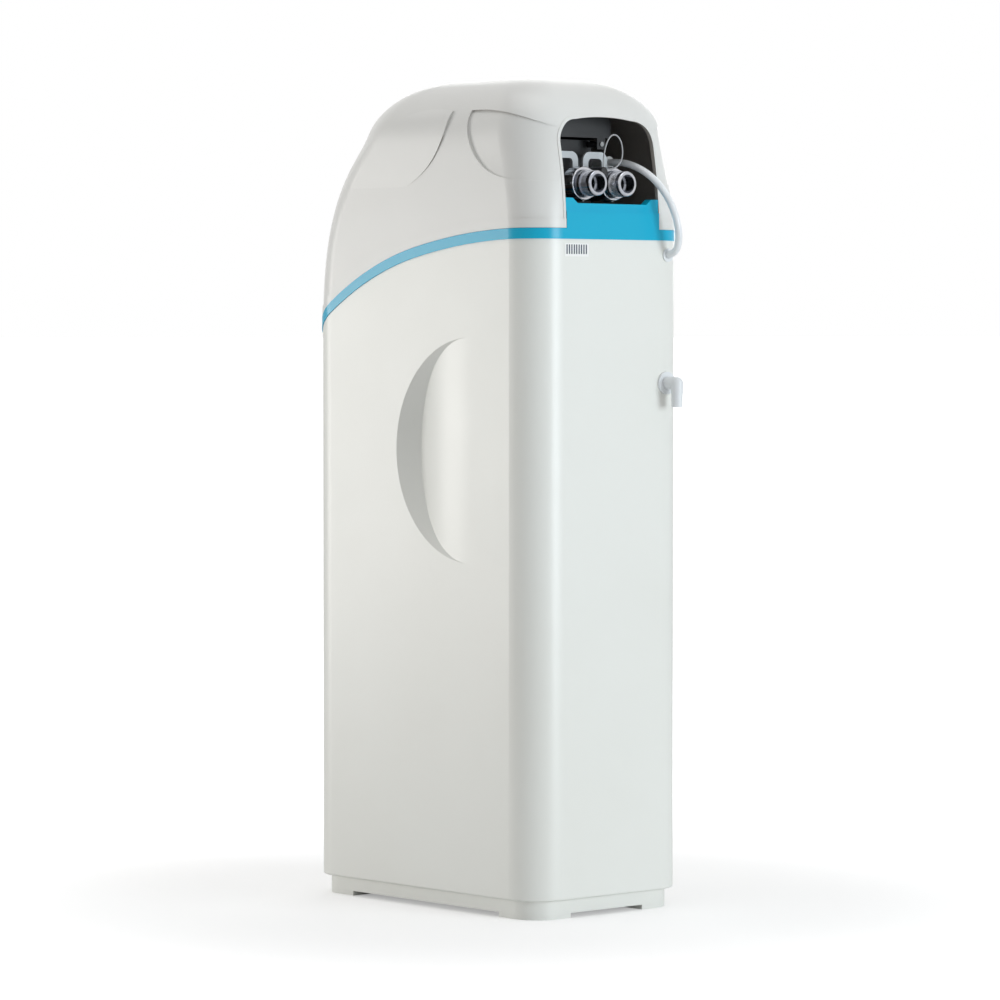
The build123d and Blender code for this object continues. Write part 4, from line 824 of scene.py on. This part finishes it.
# lit digits on the display window's face, each one of up to seven bars
digitSize = {
    "text": "12:40",
    "height": 0.0105,
    "width": 0.0056,
    "bar": 0.0012,
    "thick": 0.0002,
    "pitch": 0.0098,
    "right": Vector((1, 0, 0)),
    "up": Vector((0, 0.2563, 0.9666)),
    "out": Vector((0, -0.9666, 0.2563)),
    "glassHalf": 0.0008,
    "faceShare": 0.8,
}
barsOf = {"0": "abcdef", "1": "bc", "2": "abged", "4": "fgbc"}
windowLow, windowHigh = (Vector(corner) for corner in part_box("display_window"))
windowFace = (windowLow + windowHigh) / 2 + digitSize["out"] * digitSize["glassHalf"]


def digitBar(mesh, across, rise, long, tall):
    centre = windowFace + digitSize["right"] * across + digitSize["up"] * rise
    rings = []
    for lift, share in ((0, 1.0), (digitSize["thick"], digitSize["faceShare"])):
        ring = []
        for sideways, upward in ((-1, -1), (1, -1), (1, 1), (-1, 1)):
            spot = centre + digitSize["out"] * lift
            spot += digitSize["right"] * (sideways * (long - (1 - share) * digitSize["bar"]) / 2)
            spot += digitSize["up"] * (upward * (tall - (1 - share) * digitSize["bar"]) / 2)
            ring.append(mesh.verts.new(spot))
        rings.append(ring)
    mesh.faces.new(rings[0][::-1])
    mesh.faces.new(rings[1])
    for k in range(4):
        mesh.faces.new((rings[0][k], rings[0][(k + 1) % 4], rings[1][(k + 1) % 4], rings[1][k]))


digitMesh = bmesh.new()
tall, wide, bar = digitSize["height"], digitSize["width"], digitSize["bar"]
barPlaces = {
    "a": (0, tall / 2, wide - 2 * bar, bar),
    "b": (wide / 2, tall / 4, bar, tall / 2 - 2 * bar),
    "c": (wide / 2, -tall / 4, bar, tall / 2 - 2 * bar),
    "d": (0, -tall / 2, wide - 2 * bar, bar),
    "e": (-wide / 2, -tall / 4, bar, tall / 2 - 2 * bar),
    "f": (-wide / 2, tall / 4, bar, tall / 2 - 2 * bar),
    "g": (0, 0, wide - 2 * bar, bar),
}
for k, mark in enumerate(digitSize["text"]):
    across = (k - (len(digitSize["text"]) - 1) / 2) * digitSize["pitch"]
    if mark == ":":
        for rise in (-tall / 4, tall / 4):
            digitBar(digitMesh, across, rise, bar, bar)
        continue
    for key in barsOf[mark]:
        sideways, rise, long, high = barPlaces[key]
        digitBar(digitMesh, across + sideways, rise, long, high)
digitData = bpy.data.meshes.new("displayDigits")
digitMesh.to_mesh(digitData)
digitMesh.free()
digits = bpy.data.objects.new("displayDigits", digitData)
scene.collection.objects.link(digits)
digitData.materials.append(finishes["litSegment"])
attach(digits, "base")
print("display digits made")

# pipe thread round each bare stub, a small ridge swept along a helix
threadTree, threadIn, threadOut = nodeTree(
    "pipeThread",
    [
        ("Turns", "float"),
        ("Radius", "float"),
        ("Length", "float"),
        ("Ridge", "float"),
        ("Start", "vector"),
        ("Finish", "material"),
    ],
)
helix = addNode(threadTree, "GeometryNodeCurveSpiral", (-600, 100))
setInput(helix, Resolution=40)
threadTree.links.new(threadIn.outputs["Turns"], helix.inputs["Rotations"])
threadTree.links.new(threadIn.outputs["Radius"], helix.inputs["Start Radius"])
threadTree.links.new(threadIn.outputs["Radius"], helix.inputs["End Radius"])
threadTree.links.new(threadIn.outputs["Length"], helix.inputs["Height"])
ridge = addNode(threadTree, "GeometryNodeCurvePrimitiveCircle", (-600, -200))
setInput(ridge, Resolution=6)
threadTree.links.new(threadIn.outputs["Ridge"], ridge.inputs["Radius"])
sweep = addNode(threadTree, "GeometryNodeCurveToMesh", (-300, 0))
sweep.inputs["Fill Caps"].default_value = True
threadTree.links.new(helix.outputs[0], sweep.inputs["Curve"])
threadTree.links.new(ridge.outputs[0], sweep.inputs["Profile Curve"])
turned = addNode(threadTree, "GeometryNodeTransform", (0, 0))
turned.inputs["Rotation"].default_value = (-math.pi / 2, 0, 0)
threadTree.links.new(sweep.outputs[0], turned.inputs["Geometry"])
threadTree.links.new(threadIn.outputs["Start"], turned.inputs["Translation"])
threadReal = addNode(threadTree, "GeometryNodeRealizeInstances", (250, 0))
threadTree.links.new(turned.outputs[0], threadReal.inputs[0])
threadPaint = addNode(threadTree, "GeometryNodeSetMaterial", (500, 0))
threadTree.links.new(threadReal.outputs[0], threadPaint.inputs["Geometry"])
threadTree.links.new(threadIn.outputs["Finish"], threadPaint.inputs["Material"])
threadTree.links.new(threadPaint.outputs[0], threadOut.inputs[0])

stubThread = {
    "turns": 5.0,
    "radius": 0.0165,
    "length": 0.0105,
    "ridge": 0.00045,
    "depth": midY + 0.2155,
    "height": 0.969,
    "spacing": 0.053,
}
for side, place in (("Left", 0.5), ("Right", -0.5)):
    thread = meshFromTree(
        "stubThread" + side,
        threadTree,
        {
            "Turns": stubThread["turns"],
            "Radius": stubThread["radius"],
            "Length": stubThread["length"],
            "Ridge": stubThread["ridge"],
            "Start": (place * stubThread["spacing"], stubThread["depth"], stubThread["height"]),
            "Finish": finishes["chromePlate"],
        },
    )
    for face in thread.data.polygons:
        face.use_smooth = True
    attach(thread, "base")
print("stub threads made")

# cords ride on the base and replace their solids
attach(hosePiece, "base")
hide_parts("brine_hose")
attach(linePiece, "base")
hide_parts("brine_line")
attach(leadPiece, "base")
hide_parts("sensor_lead")

# floor, world and soft lamps
stageSize = {
    "half": 400.0,
    "floorWhite": 0.8,
    "floorLift": 0.34,
    "fadeFrom": 0.4,
    "fadeTo": 1.5,
    "ambient": 0.42,
}
floorMesh = bpy.data.meshes.new("studioFloor")
half = stageSize["half"]
floorCorners = [(-half, -half, 0), (half, -half, 0), (half, half, 0), (-half, half, 0)]
floorMesh.from_pydata(floorCorners, [], [(0, 1, 2, 3)])
floor = bpy.data.objects.new("studioFloor", floorMesh)
scene.collection.objects.link(floor)
floorMaterial, floorNodes, floorShader = blankMaterial("paleFloor")
floorShader.inputs["Base Color"].default_value = (stageSize["floorWhite"],) * 3 + (1,)
floorPath = addNode(floorNodes, "ShaderNodeLightPath", (-500, -200))
floorPlace = addNode(floorNodes, "ShaderNodeTexCoord", (-1100, -400)).outputs["Object"]
floorReach = addNode(floorNodes, "ShaderNodeVectorMath", (-900, -400), operation="LENGTH")
floorNodes.links.new(floorPlace, floorReach.inputs[0])
floorFade = addNode(floorNodes, "ShaderNodeMapRange", (-700, -400), interpolation_type="SMOOTHSTEP")
setInput(floorFade, From_Min=stageSize["fadeFrom"], From_Max=stageSize["fadeTo"])
setInput(floorFade, To_Min=stageSize["floorLift"], To_Max=1.0)
floorNodes.links.new(floorReach.outputs["Value"], floorFade.inputs["Value"])
floorRay = floorPath.outputs["Is Camera Ray"]
floorSeen = mathNode(floorNodes, "MULTIPLY", (-200, -200), floorRay, floorFade.outputs[0])
floorShader.inputs["Emission Color"].default_value = (1, 1, 1, 1)
floorNodes.links.new(floorSeen, floorShader.inputs["Emission Strength"])
floorShader.inputs["Roughness"].default_value = 0.9
floorShader.inputs["Specular IOR Level"].default_value = 0.1
floorMesh.materials.append(floorMaterial)
floor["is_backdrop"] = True

world = bpy.data.worlds.new("studioWorld")
scene.world = world
world.use_nodes = True
sky = world.node_tree
sky.nodes.clear()
path = addNode(sky, "ShaderNodeLightPath", (-700, 0))
seen = mathNode(sky, "MAXIMUM", (-450, 0), path.outputs["Is Camera Ray"], path.outputs["Is Glossy Ray"])
seen = mathNode(sky, "MAXIMUM", (-250, 0), seen, path.outputs["Is Transmission Ray"])
level = addNode(sky, "ShaderNodeMapRange", (-50, 0))
setInput(level, To_Min=stageSize["ambient"], To_Max=1.0)
sky.links.new(seen, level.inputs["Value"])
glow = addNode(sky, "ShaderNodeBackground", (200, 0))
setInput(glow, Color=(1, 1, 1, 1))
sky.links.new(level.outputs[0], glow.inputs["Strength"])
skyOut = addNode(sky, "ShaderNodeOutputWorld", (450, 0))
sky.links.new(glow.outputs[0], skyOut.inputs[0])

lamps = {
    "rearSoft": {"place": (-1.3, 5.0, 0.8), "size": 2.2, "power": 134.0, "tone": (0.87, 0.95, 1.0)},
    "sideSoft": {"place": (3.0, -4.2, 0.25), "size": 2.2, "power": 120.0, "tone": (1.0, 0.985, 0.95)},
    "topSoft": {"place": (0.3, 0.2, 3.6), "size": 2.4, "power": 24.0, "tone": (1.0, 1.0, 1.0)},
    "frontFill": {"place": (-3.0, -2.4, 2.0), "size": 2.4, "power": 24.0, "tone": (1.0, 1.0, 1.0)},
}
aim = Vector((0, 0, 0.6))
for name, lamp in lamps.items():
    data = bpy.data.lights.new(name, "AREA")
    data.shape = "SQUARE"
    data.size = lamp["size"]
    data.energy = lamp["power"]
    data.color = lamp["tone"]
    holder = bpy.data.objects.new(name, data)
    holder.location = lamp["place"]
    holder.rotation_mode = "QUATERNION"
    holder.rotation_quaternion = (aim - Vector(lamp["place"])).to_track_quat("-Z", "Y")
    scene.collection.objects.link(holder)
scene.view_settings.view_transform = "Standard"
print("stage lit")

low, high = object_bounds()
